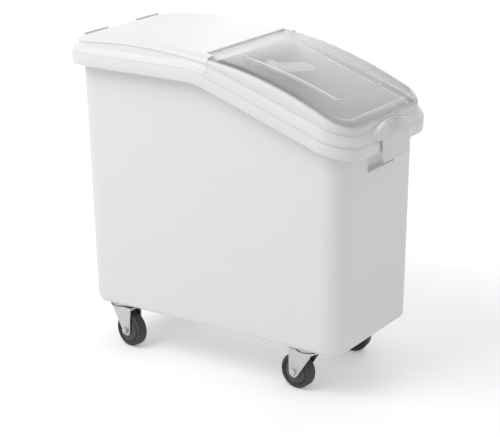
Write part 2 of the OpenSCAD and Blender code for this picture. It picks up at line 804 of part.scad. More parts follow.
// A leg seen from the side: wide at the top, round about the axle
hub_play = 1;
fork_gap = hub_width + 2 * hub_play;
fork_half = fork_gap / 2 + fork_steel;
leg_back = trail + leg_behind;
leg_flare = 11;
leg_shoulder = fork_top - fork_steel - leg_flare;
axle_z = wheel_diameter / 2;
function tangent(point, side) =
    let (
        dx = point[0] + trail,
        dz = point[1] - axle_z,
        angle = atan2(dz, dx) + side * acos(leg_round / norm([dx, dz]))
    )
    [-trail + leg_round * cos(angle), axle_z + leg_round * sin(angle)];
leg_bend = 5;
module fork_channel() {
    difference() {
        union() {
            translate([-fork_half, 0]) square([2 * fork_half, fork_top - leg_bend]);
            translate([-fork_half + leg_bend, 0]) square([2 * (fork_half - leg_bend), fork_top]);
            for (side = [-1, 1])
                translate([side * (fork_half - leg_bend), fork_top - leg_bend]) circle(leg_bend);
        }
        union() {
            translate([-fork_gap / 2, -overlap])
                square([fork_gap, fork_top - leg_bend + overlap]);
            translate([-fork_half + leg_bend, -overlap])
                square([2 * (fork_half - leg_bend), fork_top - fork_steel + overlap]);
            for (side = [-1, 1])
                translate([side * (fork_half - leg_bend), fork_top - leg_bend])
                circle(leg_bend - fork_steel);
        }
    }
}

module fork(c) {
    back = [-leg_back, leg_shoulder];
    front = [leg_ahead, leg_shoulder];
    crown = leg_ahead + leg_flare;
    color(zinc_steel)
    at_fork(c)
    difference() {
        union() {
            intersection() {
                translate([-leg_back, 0, 0])
                    rotate([90, 0, 90])
                    linear_extrude(leg_back + crown)
                    fork_channel();
                translate([0, fork_half + overlap, 0])
                    rotate([90, 0, 0])
                    linear_extrude(2 * (fork_half + overlap))
                    union() {
                        polygon([
                            [-leg_back, fork_top + overlap],
                            back,
                            tangent(back, 1),
                            [-trail, axle_z],
                            tangent(front, -1),
                            front,
                            [leg_ahead + leg_flare / 3, leg_shoulder + leg_flare * 2 / 3],
                            [crown, fork_top - fork_steel],
                            [crown, fork_top + overlap]
                        ]);
                        translate([-trail, axle_z]) circle(leg_round);
                    }
            }
            translate([0, 0, fork_top - fork_steel])
                cylinder(d = fork_head, h = fork_steel);
        }
        translate([0, 0, fork_top - fork_steel - overlap])
            cylinder(d = kingpin_diameter + 4 * fit, h = fork_steel + 2 * overlap);
        translate([-trail, 0, axle_z])
            rotate([90, 0, 0])
            cylinder(d = axle_diameter + 2 * fit, h = 2 * fork_half + 2 * overlap, center = true);
    }
}

// The wheel turns on a sleeve that the axle bolt clamps between the legs
sleeve_diameter = axle_diameter + 4;
axle_wrench = axle_diameter * 1.625;
axle_hex = axle_wrench / cos(30);
axle_head = 5.3;
axle_nut_height = 6.5;
module axle_bolt(c) {
    color(zinc_steel)
    at_wheel(c)
        union() {
            translate([0, 0, fork_half])
                cylinder(d = axle_hex, h = axle_head, $fn = 6);
            translate([0, 0, -fork_half - axle_nut_height - 1])
                cylinder(d = axle_diameter, h = 2 * fork_half + axle_nut_height + 1 + overlap);
        }
}
module axle_nut(c) {
    color(zinc_steel)
    at_wheel(c)
        difference() {
            translate([0, 0, -fork_half - axle_nut_height])
                cylinder(d = axle_hex, h = axle_nut_height, $fn = 6);
            translate([0, 0, -fork_half - axle_nut_height - overlap])
                cylinder(d = axle_diameter + 2 * fit, h = axle_nut_height + 2 * overlap);
        }
}
module sleeve(c) {
    color(zinc_steel)
    at_wheel(c)
        difference() {
            cylinder(d = sleeve_diameter, h = fork_gap, center = true);
            cylinder(d = axle_diameter + 2 * fit, h = fork_gap + 2 * overlap, center = true);
        }
}

hub_seat = hub_diameter / 2;
module hub(c) {
    bore = sleeve_diameter / 2 + fit;
    boss = bore + 4;
    ring = (hub_seat - boss) / 5;
    high = tyre_width / 2 - 1;
    low = high - 2;
    half = concat(
        [[bore, hub_width / 2], [boss - 1, hub_width / 2], [boss, hub_width / 2 - 1], [boss, low]],
        [for (i = [1:5]) each i % 2 == 1 ?
            [[boss + (i - 1) * ring, low], [boss + i * ring - 1, low]] :
            [[boss + (i - 1) * ring, high], [boss + i * ring - 1, high]]],
        [[hub_seat, high]]);
    color(grey_plastic)
    at_wheel(c)
        rotate_extrude()
        polygon(concat(half, [for (p = reversed(half)) [p[0], -p[1]]]));
}

module tyre(c) {
    shoulder = 5;
    rib = 0.7;
    outer = wheel_diameter / 2;
    inner = hub_seat + fit;
    half = tyre_width / 2;
    color(dark_rubber)
    at_wheel(c)
        rotate_extrude()
        union() {
            translate([inner, -half]) square([outer - shoulder - inner, tyre_width]);
            translate([inner, -half + shoulder]) square([outer - inner, tyre_width - 2 * shoulder]);
            for (side = [-1, 1]) {
                translate([outer - shoulder, side * (half - shoulder)]) circle(shoulder);
                for (share = [0.12, 0.36])
                    translate([inner + (outer - inner) * share, side * half]) circle(rib);
            }
        }
}

module caster_bolts() {
    head = bolt_diameter * 1.75;
    head_height = bolt_diameter * 0.55;
    color(zinc_steel)
    at_bolts()
        union() {
            translate([0, 0, plate_bottom - head_height])
                cylinder(d1 = head - 3, d2 = head, h = head_height);
            translate([0, 0, plate_bottom - overlap])
                cylinder(d = bolt_diameter, h = plate_thickness + floor_thickness + bolt_diameter + overlap);
        }
}
washer_height = 1.6;
module caster_washers() {
    color(zinc_steel)
    at_bolts()
        translate([0, 0, floor_top])
        difference() {
            cylinder(d = 2 * bolt_diameter, h = washer_height);
            translate([0, 0, -overlap])
                cylinder(d = bolt_diameter + 2 * fit, h = washer_height + 2 * overlap);
        }
}
module caster_cap_nuts() {
    nut_hex = bolt_diameter * 1.625 / cos(30);
    nut_height = bolt_diameter * 0.8;
    dome = bolt_diameter * 0.75;
    color(zinc_steel)
    at_bolts()
        translate([0, 0, floor_top + washer_height])
        difference() {
            union() {
                cylinder(d = nut_hex, h = nut_height, $fn = 6);
                translate([0, 0, nut_height]) sphere(r = dome);
            }
            translate([0, 0, -overlap])
                cylinder(d = bolt_diameter + 2 * fit, h = bolt_diameter + overlap);
            translate([0, 0, -dome])
                cylinder(r = 2 * dome, h = dome);
        }
}

module front_right_plate() caster_plate(0);
module front_left_plate() caster_plate(1);
module rear_right_plate() caster_plate(2);
module rear_left_plate() caster_plate(3);
module front_right_kingpin() kingpin(0);
module front_left_kingpin() kingpin(1);
module rear_right_kingpin() kingpin(2);
module rear_left_kingpin() kingpin(3);
module front_right_balls() balls(0);
module front_left_balls() balls(1);
module rear_right_balls() balls(2);
module rear_left_balls() balls(3);
module front_right_fork() fork(0);
module front_left_fork() fork(1);
module rear_right_fork() fork(2);
module rear_left_fork() fork(3);
module front_right_axle_bolt() axle_bolt(0);
module front_left_axle_bolt() axle_bolt(1);
module rear_right_axle_bolt() axle_bolt(2);
module rear_left_axle_bolt() axle_bolt(3);
module front_right_axle_nut() axle_nut(0);
module front_left_axle_nut() axle_nut(1);
module rear_right_axle_nut() axle_nut(2);
module rear_left_axle_nut() axle_nut(3);
module front_right_sleeve() sleeve(0);
module front_left_sleeve() sleeve(1);
module rear_right_sleeve() sleeve(2);
module rear_left_sleeve() sleeve(3);
module front_right_hub() hub(0);
module front_left_hub() hub(1);
module rear_right_hub() hub(2);
module rear_left_hub() hub(3);
module front_right_tyre() tyre(0);
module front_left_tyre() tyre(1);
module rear_right_tyre() tyre(2);
module rear_left_tyre() tyre(3);

tub();
rear_cover();
front_lid();
scoop_clip();
right_hinge_pin();
left_hinge_pin();
lid_rest_strips();
caster_bolts();
caster_washers();
caster_cap_nuts();
front_right_plate();
front_left_plate();
rear_right_plate();
rear_left_plate();
front_right_kingpin();
front_left_kingpin();
rear_right_kingpin();
rear_left_kingpin();
front_right_balls();
front_left_balls();
rear_right_balls();
rear_left_balls();
front_right_fork();
front_left_fork();
rear_right_fork();
rear_left_fork();
front_right_axle_bolt();
front_left_axle_bolt();
rear_right_axle_bolt();
rear_left_axle_bolt();
front_right_axle_nut();
front_left_axle_nut();
rear_right_axle_nut();
rear_left_axle_nut();
front_right_sleeve();
front_left_sleeve();
rear_right_sleeve();
rear_left_sleeve();
front_right_hub();
front_left_hub();
rear_right_hub();
rear_left_hub();
front_right_tyre();
front_left_tyre();
rear_right_tyre();
rear_left_tyre();
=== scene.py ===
"""Looks of a rolling flour bin: a white moulded tub and cover, a clear front lid and four casters."""

import json
import math

import bmesh
import bpy
import numpy as np
from bpy.props import FloatProperty, FloatVectorProperty, PointerProperty
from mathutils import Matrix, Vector


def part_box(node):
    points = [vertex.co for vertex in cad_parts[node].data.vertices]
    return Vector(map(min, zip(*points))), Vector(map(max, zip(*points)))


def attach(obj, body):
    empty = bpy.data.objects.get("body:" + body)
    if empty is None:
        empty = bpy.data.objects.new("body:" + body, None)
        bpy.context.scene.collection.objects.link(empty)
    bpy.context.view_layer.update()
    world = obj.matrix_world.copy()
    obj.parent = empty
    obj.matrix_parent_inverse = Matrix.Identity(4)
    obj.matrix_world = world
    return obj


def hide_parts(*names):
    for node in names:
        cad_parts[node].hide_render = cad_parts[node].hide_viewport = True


bl_info = {
    "name": "Rolling flour bin",
    "version": (1, 0, 0),
    "blender": (4, 5, 0),
    "location": "View3D > Sidebar > Flour bin",
    "description": "Dresses the packed flour bin with smooth mouldings, finishes and a studio",
    "category": "Object",
}

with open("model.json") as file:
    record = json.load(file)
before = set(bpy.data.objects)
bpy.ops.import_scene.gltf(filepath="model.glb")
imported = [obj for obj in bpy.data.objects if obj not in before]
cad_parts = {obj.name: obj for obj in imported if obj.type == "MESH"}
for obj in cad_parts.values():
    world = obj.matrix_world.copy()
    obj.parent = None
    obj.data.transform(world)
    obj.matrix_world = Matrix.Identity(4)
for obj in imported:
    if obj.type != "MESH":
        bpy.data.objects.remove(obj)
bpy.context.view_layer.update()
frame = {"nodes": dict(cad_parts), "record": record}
MM = 0.001

# Room round a fixed piece in its seat, and how far joined or cutting shapes reach past a surface.
FIT = 0.05 * MM
OVERLAP = MM
# Edges of the mouldings that turn by more than this many degrees stay sharp.
MOULDING_SHARP = 40
# How far behind the joint the rim's slope starts.
SLOPE_BACK = 16 * MM
# The finger recess: how its edges ease in, and how it runs out below the rim on the inside.
RECESS_EASE = (-2 * MM, 3 * MM)
RECESS_FADE = (-6 * MM, 2 * MM)
# The lids' sides: how far the ledge sinks with the wall, and the cove's place and depth as shares.
LEDGE_SINK = 0.4
COVE_IN = 2 / 3
COVE_DEEP = 0.42
# Distances from the joint between which the lids' crowns rise.
CROWN_FADE = (10 * MM, 90 * MM)
# The hinge: the ears' reach past the barrel, the room round the barrel, and the apron below it.
EAR_NOSE = 3.4 * MM
BARREL_ROOM = 1.5 * MM
JOINT_CHAMFER = 3.5 * MM
APRON_REACH = 16 * MM
APRON_LIP = 3 * MM
# How far the rest strips' inner ends stand from the middle.
STRIP_INNER = 50 * MM
# The clear pieces: how strong the painted highlights on the panel's outline and the clip's sides are, how
# white the frosted skirt is, and the depths where it whitens.
PANEL_PAINTED_HIGHLIGHT = 0.95
CLIP_PAINTED_HIGHLIGHT = 0.85
SKIRT_FROST = 0.92
FROST_DEPTHS = (3.5 * MM, 9 * MM)
# Width of the eased edges on the hardware.
EASED = 0.35 * MM
# The casters: the balls in each ring and their room, and the ribs' count, first place and spacing, which
# are shares of the tyre's height. The tyres and ribs are turned in this many steps.
BALL_COUNT = 14
BALL_ROOM = 0.02 * MM
RIB_COUNT = 2
RIB_FIRST = 0.12
RIB_STEP = 0.24
TYRE_STEPS = 128
# The camera: its turn and rise in degrees, its distance and aim, and its focus and shift in pixels of a
# picture this wide.
CAMERA_TURN = 33.2
CAMERA_RISE = 17.6
CAMERA_REACH = 3.4098
CAMERA_AIM = (0.0143, 0, 0.35)
CAMERA_FOCUS = 1596.2
CAMERA_SHIFT = (-4.2, -21.5)
PICTURE_WIDTH = 500
SENSOR_WIDTH = 36


def linear(code):
    """An sRGB hex colour as linear red, green and blue."""
    parts = [int(code[i:i + 2], 16) / 255 for i in (1, 3, 5)]
    return tuple(p / 12.92 if p <= 0.04045 else ((p + 0.055) / 1.055) ** 2.4 for p in parts)


def length(name, millimetres, description):
    """A length property, given in millimetres."""
    return FloatProperty(name=name, description=description, default=millimetres * MM, unit="LENGTH")


def angle(name, degrees, description):
    """An angle property, given in degrees."""
    return FloatProperty(name=name, description=description, default=math.radians(degrees), unit="ROTATION")


def paint(name, code, description):
    """A colour property, given as an sRGB hex value."""
    return FloatVectorProperty(name=name, description=description, default=linear(code),
                               subtype="COLOR", min=0, max=1)


class FlourBinSizes(bpy.types.PropertyGroup):
    """Sizes of the mouldings, which are those of the solids."""
    tub_length: length("Tub length", 632, "Length of the tub at its floor, outside")
    tub_width: length("Tub width", 312, "Width of the tub at its floor, outside")
    underside: length("Underside", 100, "Height of the tub's underside above the ground")
    rim_height: length("Rim height", 658, "Height of the level rear rim above the ground")
    corner_radius: length("Corner radius", 46, "Radius of the tub's upright corners")
    tub_wall: length("Tub wall", 4, "Thickness of the tub's walls")
    floor_thickness: length("Floor thickness", 6, "Thickness of the tub's floor")
    floor_radius: length("Floor radius", 10, "Outside radius of the edge round the floor")
    inner_floor_radius: length("Inner floor radius", 8, "Inside radius of the edge round the floor")
    rear_draft: angle("Rear draft", 1.75, "Lean of the rear wall")
    front_draft: angle("Front draft", 0.6, "Lean of the front wall")
    side_draft: angle("Side draft", 0.5, "Lean of the side walls")
    rim_overhang: length("Rim overhang", 25, "How far the rim stands out from the wall")
    rim_depth: length("Rim depth", 25, "Height of the rim's turned-down lip")
    rim_skin: length("Rim skin", 4, "Thickness of the rim's flange and lip")
    rim_swell: length("Rim swell", 1, "How far the lip swells beyond its edges")
    rim_round: length("Rim round", 2.5, "Radius of the rim's outer top edge")
    rim_fillet: length("Rim fillet", 4, "Radius of the hollow corners under the rim")
    collar_height: length("Collar height", 14, "Height of the collar inside the lids")
    rim_slope: angle("Rim slope", 18.9, "Fall of the front half of the rim")
    slope_bend: length("Slope bend", 50, "Length over which the rim bends into its slope")
    nose_slope: angle("Nose slope", 6, "Extra fall of the rim over the front corners")
    nose_bend: length("Nose bend", 40, "Length over which the rim bends into the front corners")
    recess_width: length("Recess width", 108, "Width of the finger recess in the front wall")
    recess_height: length("Recess height", 66, "Height of the finger recess below the rim")
    recess_depth: length("Recess depth", 13, "Depth of the finger recess")
    crest_rise: length("Crest rise", 42, "Height of the crest above the rear rim")
    joint_offset: length("Joint offset", 4, "Place of the joint forward of the tub's middle")
    crest_back: length("Crest back", 165, "Distance from the joint back to the crest")
    rear_arch: length("Rear arch", 1400, "Radius of the rear cover's lengthwise arch")
    front_arch: length("Front arch", 795, "Radius of the front lid's lengthwise arch")
    crown_rise: length("Crown rise", 3, "Rise of the lids' crowns across their width")
    lid_wall: length("Lid wall", 3, "Thickness of both lids")
    lid_inset: length("Lid inset", 1, "How far the lids' edges stand back from the rim's edge")
    lid_lip: length("Lid lip", 5, "Height of the upright lip round the lids")
    lid_step: length("Lid step", 2.25, "Width of the steps in the lids' sides")
    shoulder_height: length("Shoulder height", 8.5, "Height of the rounded shoulder above the crease")
    shoulder_swell: length("Shoulder swell", 5, "Extra height of the shoulder at the joint")
    crease_out: length("Crease out", 12, "How far the crease stands out from the tub's wall")
    shoulder_in: length("Shoulder in", 9, "How far the shoulder reaches inside the tub's wall")
    lid_gap: length("Lid gap", 0.4, "Gap between the front lid and the rim")
    pull_width: length("Pull width", 98, "Width of the pull's tongue")
    pull_drop: length("Pull drop", 47, "How far the tongue hangs below the lid's edge")
    pull_out: length("Pull out", 7, "How far the pull stands out from the lid's front")
    pull_lift: length("Pull lift", 24, "How far the pull's arched face rises above the lid's lip")
    pull_lean: length("Pull lean", 8, "How far the pull's face leans back at the top of its arch")
    crease_rise: length("Crease rise", 24, "Height of the crease above the rim")
    crease_lift: length("Crease lift", 8, "Extra height of the crease over the rear cover")
    pull_corner: length("Pull corner", 6, "Width over which the tongue's lower corners run out")
    pull_blend: length("Pull blend", 18, "Width over which the pull blends into the front")
    panel_start: length("Panel start", 30, "Distance from the joint to the panel's arched end")
    panel_length: length("Panel length", 236, "Length of the raised panel")
    panel_rear_half: length("Panel rear half", 110, "Half width of the panel at its arched end")
    panel_front_half: length("Panel front half", 88, "Half width of the panel at its straight end")
    panel_arch: length("Panel arch", 184, "Radius of the panel's arched end")
    panel_rise: length("Panel rise", 4, "Height of the panel above the lid")
    panel_edge: length("Panel edge", 2, "Width of the panel's sloping edge")
    panel_corner: length("Panel corner", 12, "Corner radius of the panel")
    barrel_radius: length("Barrel radius", 6, "Radius of the lid's hinge barrel")
    hinge_drop: length("Hinge drop", 6.5, "Depth of the hinge axis below the lids' top")
    ear_width: length("Ear width", 17, "Width of each hinge ear on the cover")
    ear_gap: length("Ear gap", 0.6, "Gap at the ends and front of the ears")
    pin_diameter: length("Pin diameter", 6, "Diameter of the hinge pins")
    pin_length: length("Pin length", 34, "Length of the hinge pins")
    wheel_diameter: length("Wheel diameter", 75, "Diameter of the wheels")
    tyre_width: length("Tyre width", 25, "Width of the tyres")
    tyre_shoulder: length("Tyre shoulder", 5, "Radius of the tyres' shoulders")
    tyre_rib: length("Tyre rib", 0.7, "Radius of the ribs moulded round the tyres' sides")
    hub_diameter: length("Hub diameter", 52, "Diameter of the hub under the tyre")
    bolt_along: length("Bolt spacing along", 60, "Spacing of the plate bolts along the bin")
    bolt_across: length("Bolt spacing across", 28, "Spacing of the plate bolts across the bin")
    bolt_diameter: length("Bolt diameter", 6, "Diameter of the plate bolts")
    plate_thickness: length("Plate thickness", 3, "Thickness of the casters' top plates")
    washer_height: length("Washer height", 1.6, "Thickness of the washers inside the tub")
    ball_diameter: length("Ball diameter", 5.6, "Diameter of the bearing balls")
    ball_circle: length("Ball circle", 34, "Diameter of the ring of balls")


class FlourBinFinishes(bpy.types.PropertyGroup):
    """Colours of the bin's materials."""
    moulding: paint("White polyethylene", "#f5f5f4", "Tub and rear cover")
    clear: paint("Clear polycarbonate", "#f3f4f4", "Front lid and scoop clip")
    strip: paint("Strip rubber", "#d2d2d2", "Rest strips on the rear cover")
    zinc: paint("Zinc plate", "#cbccce", "Forks, plates and bolts")
    stainless: paint("Stainless steel", "#c2c2c1", "Hinge pins")
    tyre: paint("Tyre rubber", "#3c3c3d", "Tyres")
    hub: paint("Hub nylon", "#5e5e5f", "Wheel hubs")


class FlourBinStage(bpy.types.PropertyGroup):
    """The studio round the bin."""
    floor_size: FloatProperty(name="Floor size", description="Side of the square floor", default=14.0,
                              unit="LENGTH")
    floor_tone: paint("Floor tone", "#f4f4f4", "Colour of the studio floor")
    floor_glow: FloatProperty(name="Floor glow", default=0.26,
                              description="Light that the seen floor adds round the bin")
    far_glow: FloatProperty(name="Far glow", default=0.8,
                            description="Light that the seen floor adds away from the bin")
    glow_start: FloatProperty(name="Glow start", default=0.7, unit="LENGTH",
                              description="Distance from the middle where the glow starts to rise")
    glow_end: FloatProperty(name="Glow end", default=2.6, unit="LENGTH",
                            description="Distance from the middle where the glow is full")
    key_power: FloatProperty(name="Key light", default=49.0, unit="POWER",
                             description="Power of the large soft box")
    far_power: FloatProperty(name="Far light", default=22.0, unit="POWER",
                             description="Power of the soft box beyond the bin")
    world_level: FloatProperty(name="Room light", default=0.5,
                               description="Level of the light from all round")


class Form:
    """The bin's shared outline and heights, worked out from its sizes."""

    def __init__(self, sizes):
        self.s = sizes
        s = sizes
        self.lid_reach = s.rim_overhang - s.lid_inset
        lean = s.rim_height - s.underside
        rear_reach = (s.tub_length / 2 + math.tan(s.rear_draft) * (lean - s.rim_depth / 2)
                      + s.rim_overhang + s.rim_swell)
        front_reach = s.tub_length / 2 + math.tan(s.front_draft) * lean + self.lid_reach + s.pull_out
        self.middle = (rear_reach - front_reach) / 2
        self.floor_top = s.underside + s.floor_thickness
        self.joint_x = self.middle + s.joint_offset
        self.slope_start = self.joint_x - SLOPE_BACK
        self.rear_core = self.rear_wall(s.rim_height) + s.corner_radius
        self.nose_start = self.front_wall(s.rim_height) - s.corner_radius
        self.side_core = self.half_width(s.rim_height) - s.corner_radius
        self.edge_crest = s.rim_height + s.crest_rise - s.crown_rise
        self.crest_x = self.joint_x - s.crest_back
        self.joint_top = self.edge_crest - s.crest_back ** 2 / (2 * s.rear_arch)
        self.hinge_z = self.joint_top - s.hinge_drop
        self.front_rim = float(self.rim_z(self.front_wall(s.rim_height)))
        self.panel_x = self.joint_x + s.panel_start
        self.panel_end = min(self.panel_x + s.panel_length, self.nose_start - 2 * s.panel_edge)
        self.panel_sag = s.panel_arch - math.sqrt(s.panel_arch ** 2 - s.panel_rear_half ** 2)
        self.panel_row = self.panel_x + self.panel_sag
        self.barrel_half = self.half_width(s.rim_height) - s.ear_width + s.lid_wall - OVERLAP
        self.ear_front = s.barrel_radius + EAR_NOSE

    def rear_wall(self, z):
        """Where the rear wall's outside stands at a height."""
        return self.middle - self.s.tub_length / 2 - math.tan(self.s.rear_draft) * (z - self.s.underside)

    def front_wall(self, z):
        """Where the front wall's outside stands at a height."""
        return self.middle + self.s.tub_length / 2 + math.tan(self.s.front_draft) * (z - self.s.underside)

    def half_width(self, z):
        """Half the tub's outside width at a height."""
        return self.s.tub_width / 2 + math.tan(self.s.side_draft) * (z - self.s.underside)

    def spot(self, stations, out, z):
        """Points at a distance outside the tub's wall, for stations of share, side and angle."""
        share, side, turn = (stations[:, i, None] for i in range(3))
        rear = self.rear_wall(z) + self.s.corner_radius
        front = self.front_wall(z) - self.s.corner_radius
        reach = self.s.corner_radius + out
        x = rear + (front - rear) * share + reach * np.cos(turn)
        y = (self.half_width(z) - self.s.corner_radius) * side + reach * np.sin(turn)
        return np.stack(np.broadcast_arrays(x, y, z + 0 * x), axis=-1)

    def foot(self, stations, out=0.0):
        """Where stations stand at the height of the rear rim."""
        return self.spot(stations, np.array([[out]]), np.array([[self.s.rim_height]]))[:, 0]

    def share(self, x):
        """The share of the way from the rear corners to the front ones."""
        return (np.asarray(x) - self.rear_core) / (self.nose_start - self.rear_core)

    def rim_z(self, x):
        """Height of the rim: level at the rear, then sloping, and steeper over the front corners."""
        s = self.s
        return (s.rim_height - math.tan(s.rim_slope) * bend(x, self.slope_start, s.slope_bend)
                - math.tan(s.nose_slope) * bend(x, self.nose_start, s.nose_bend))

    def lid_top(self, x):
        """Height of the lids' top edges, which arch lengthwise."""
        s = self.s
        rear = self.edge_crest - (x - self.crest_x) ** 2 / (2 * s.rear_arch)
        ahead = x - self.joint_x
        front = self.joint_top - s.crest_back / s.rear_arch * ahead - ahead ** 2 / (2 * s.front_arch)
        return np.where(x < self.joint_x, rear, front)


def bend(x, start, width):
    """A line that bends smoothly from level to a slope of one."""
    x = np.asarray(x, float)
    curve = (x - start + width / 2) ** 2 / (2 * width)
    return np.where(x < start - width / 2, 0, np.where(x > start + width / 2, x - start, curve))


def ramp(value, low, high):
    """A smooth step from 0 at low to 1 at high."""
    t = np.clip((value - low) / (high - low), 0, 1)
    return t * t * (3 - 2 * t)


def stations(shares, sides, turns):
    """Rows of share, side and angle in degrees."""
    shares, sides, turns = np.broadcast_arrays(np.asarray(shares, float), sides, turns)
    return np.stack([shares, sides, np.radians(turns)], axis=-1)


def on_front(line):
    """Which stations lie on the straight front."""
    return (line[:, 0] == 1) & (line[:, 2] == 0)


def corner(share, side, start, steps=20):
    """Stations once round one upright corner."""
    return stations(np.full(steps + 1, share), side, start + np.arange(steps + 1) * 90.0 / steps)


def arc(centre, radius, start, end, steps):
    """Points on an arc, angles in degrees."""
    turn = np.radians(np.linspace(start, end, steps + 1))
    return [(centre[0] + radius * math.cos(t), centre[1] + radius * math.sin(t)) for t in turn]


def strip_faces(first, second):
    """Quads between two lines of point numbers."""
    return [(first[i], first[i + 1], second[i + 1], second[i]) for i in range(len(first) - 1)]


def new_piece(name, points, faces, sharp=32.0):
    """A mesh object at the origin, smooth but for edges sharper than an angle in degrees."""
    mesh = bpy.data.meshes.new(name)
    mesh.from_pydata([tuple(p) for p in points], [], [tuple(int(v) for v in f) for f in faces])
    mesh.validate()
    piece = bpy.data.objects.new(name, mesh)
    bpy.context.scene.collection.objects.link(piece)
    face_outwards(mesh)
    smooth(mesh, sharp)
    return piece


def face_outwards(mesh):
    """Turns a closed mesh's faces outwards."""
    shape = bmesh.new()
    shape.from_mesh(mesh)
    bmesh.ops.recalc_face_normals(shape, faces=shape.faces)
    shape.to_mesh(mesh)
    shape.free()


def smooth(mesh, sharp):
    """Smooth shading with sharp edges kept."""
    mesh.polygons.foreach_set("use_smooth", [True] * len(mesh.polygons))
    mesh.set_sharp_from_angle(angle=math.radians(sharp))


def evaluated(piece):
    """Applies a piece's modifiers to its mesh."""
    bpy.context.view_layer.update()
    depsgraph = bpy.context.evaluated_depsgraph_get()
    mesh = bpy.data.meshes.new_from_object(piece.evaluated_get(depsgraph), depsgraph=depsgraph)
    piece.modifiers.clear()
    piece.data = mesh


def carve(piece, tool, operation):
    """Joins a closed tool to a piece, or cuts it away, and removes the tool."""
    change = piece.modifiers.new("carve", "BOOLEAN")
    change.operation = operation
    change.solver = "EXACT"
    change.object = tool
    evaluated(piece)
    bpy.data.objects.remove(tool)
    if len(piece.data.polygons) == 0:
        raise RuntimeError(f"{piece.name}: {operation} left nothing")


def block(low, high):
    """A closed box as a tool."""
    points = [(x, y, z) for x in (low[0], high[0]) for y in (low[1], high[1]) for z in (low[2], high[2])]
    faces = [(0, 1, 3, 2), (4, 6, 7, 5), (0, 4, 5, 1), (2, 3, 7, 6), (0, 2, 6, 4), (1, 5, 7, 3)]
    return new_piece("tool", points, faces)


def prism(outline, x, z, low, high):
    """A closed prism along Y as a tool, its outline given about a point of the side view."""
    count = len(outline)
    points = [(x + a, low, z + b) for a, b in outline] + [(x + a, high, z + b) for a, b in outline]
    faces = [tuple(range(count)), tuple(range(2 * count - 1, count - 1, -1))]
    faces += [(i, i + count, (i + 1) % count + count, (i + 1) % count) for i in range(count)]
    return new_piece("tool", points, faces)


def rod(radius, x, z, low, high, steps=48):
    """A closed rod along Y as a tool."""
    return prism(arc((0, 0), radius, 0, 360 - 360 / steps, steps - 1), x, z, low, high)


def settle(piece, node, body, material):
    """Gives a finished piece its material and body, and hides the solid that it stands in for."""
    piece.data.materials.clear()
    piece.data.materials.append(material)
    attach(piece, body)
    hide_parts(node)


def add(tree, kind, place=(0, 0), links=None, **settings):
    """Adds a node with its settings; links name its inputs and the sockets or values that feed them."""
    node = tree.nodes.new(kind)
    node.location = place
    for name, value in settings.items():
        setattr(node, name, value)
    for name, value in (links or {}).items():
        socket = node.inputs[name]
        if isinstance(value, bpy.types.NodeSocket):
            tree.links.new(value, socket)
        else:
            socket.default_value = value
    return node


def new_material(name):
    """An empty material and its tree."""
    material = bpy.data.materials.new(name)
    material.use_nodes = True
    material.node_tree.nodes.clear()
    return material, material.node_tree


def finish_material(tree, shader):
    """Sends a shader to the material's output."""
    add(tree, "ShaderNodeOutputMaterial", (600, 0), {"Surface": shader.outputs[0]})


def scale_for(millimetres):
    """The scale of a noise whose grains are this wide."""
    return 1 / (millimetres * MM)


def moulded_polyethylene(name, colour):
    """Moulded polyethylene: milky white, satin, with the faint unevenness of a moulded skin."""
    material, tree = new_material(name)
    place = add(tree, "ShaderNodeTexCoord", (-900, 0)).outputs["Object"]
    cloud = add(tree, "ShaderNodeTexNoise", (-700, 200),
                {"Vector": place, "Scale": scale_for(160), "Detail": 2.0, "Roughness": 0.5})
    tint = add(tree, "ShaderNodeValToRGB", (-500, 200), {"Fac": cloud.outputs["Fac"]})
    tint.color_ramp.elements[0].color = tuple(c * 0.975 for c in colour) + (1,)
    tint.color_ramp.elements[1].color = tuple(colour) + (1,)
    grain = add(tree, "ShaderNodeTexNoise", (-700, -100),
                {"Vector": place, "Scale": scale_for(1.6), "Detail": 3.0, "Roughness": 0.6})
    gloss = add(tree, "ShaderNodeMapRange", (-500, -100),
                {"Value": grain.outputs["Fac"], "To Min": 0.36, "To Max": 0.48})
    relief = add(tree, "ShaderNodeBump", (-300, -300),
                 {"Height": grain.outputs["Fac"], "Strength": 0.06, "Distance": 0.0004})
    shader = add(tree, "ShaderNodeBsdfPrincipled", (200, 0),
                 {"Base Color": tint.outputs["Color"], "Roughness": gloss.outputs["Result"],
                  "Normal": relief.outputs["Normal"], "IOR": 1.51})
    finish_material(tree, shader)
    return material


def moulded_polycarbonate(name, colour):
    """Moulded clear polycarbonate: see-through, glossy, with a frosted skirt, painted highlights on its
    edges and a painted reflection that whitens it at a slant.
    """
    material, tree = new_material(name)
    place = add(tree, "ShaderNodeTexCoord", (-900, 0)).outputs["Object"]
    haze = add(tree, "ShaderNodeTexNoise", (-700, -200),
               {"Vector": place, "Scale": scale_for(45), "Detail": 3.0, "Roughness": 0.55})
    gloss = add(tree, "ShaderNodeMapRange", (-500, -200),
                {"Value": haze.outputs["Fac"], "To Min": 0.09, "To Max": 0.17})
    # The lid turns milky white where it is seen at a slant: a painted reflection of the white studio over a
    # faint milky haze.
    slant = add(tree, "ShaderNodeLayerWeight", (-700, 200), {"Blend": 0.5})
    cover = add(tree, "ShaderNodeMapRange", (-500, 200),
                {"Value": slant.outputs["Facing"], "From Min": 0.5, "To Min": 0.13, "To Max": 0.72},
                interpolation_type="SMOOTHSTEP")
    # The marked places are made opaque white: a painted highlight along the edges, and on the lid's skirt
    # its frost.
    edge = add(tree, "ShaderNodeAttribute", (-700, 400), attribute_name="painted_highlight_and_frost")
    bright = add(tree, "ShaderNodeMath", (-300, 300), {0: cover.outputs["Result"], 1: edge.outputs["Fac"]},
                 operation="MAXIMUM")
    frost = add(tree, "ShaderNodeMath", (-300, -200),
                {0: edge.outputs["Fac"], 1: 0.36, 2: gloss.outputs["Result"]}, operation="MULTIPLY_ADD")
    shader = add(tree, "ShaderNodeBsdfPrincipled", (200, 0),
                 {"Base Color": tuple(colour) + (1,), "Roughness": frost.outputs[0],
                  "Alpha": bright.outputs[0], "IOR": 1.58})
    finish_material(tree, shader)
    return material


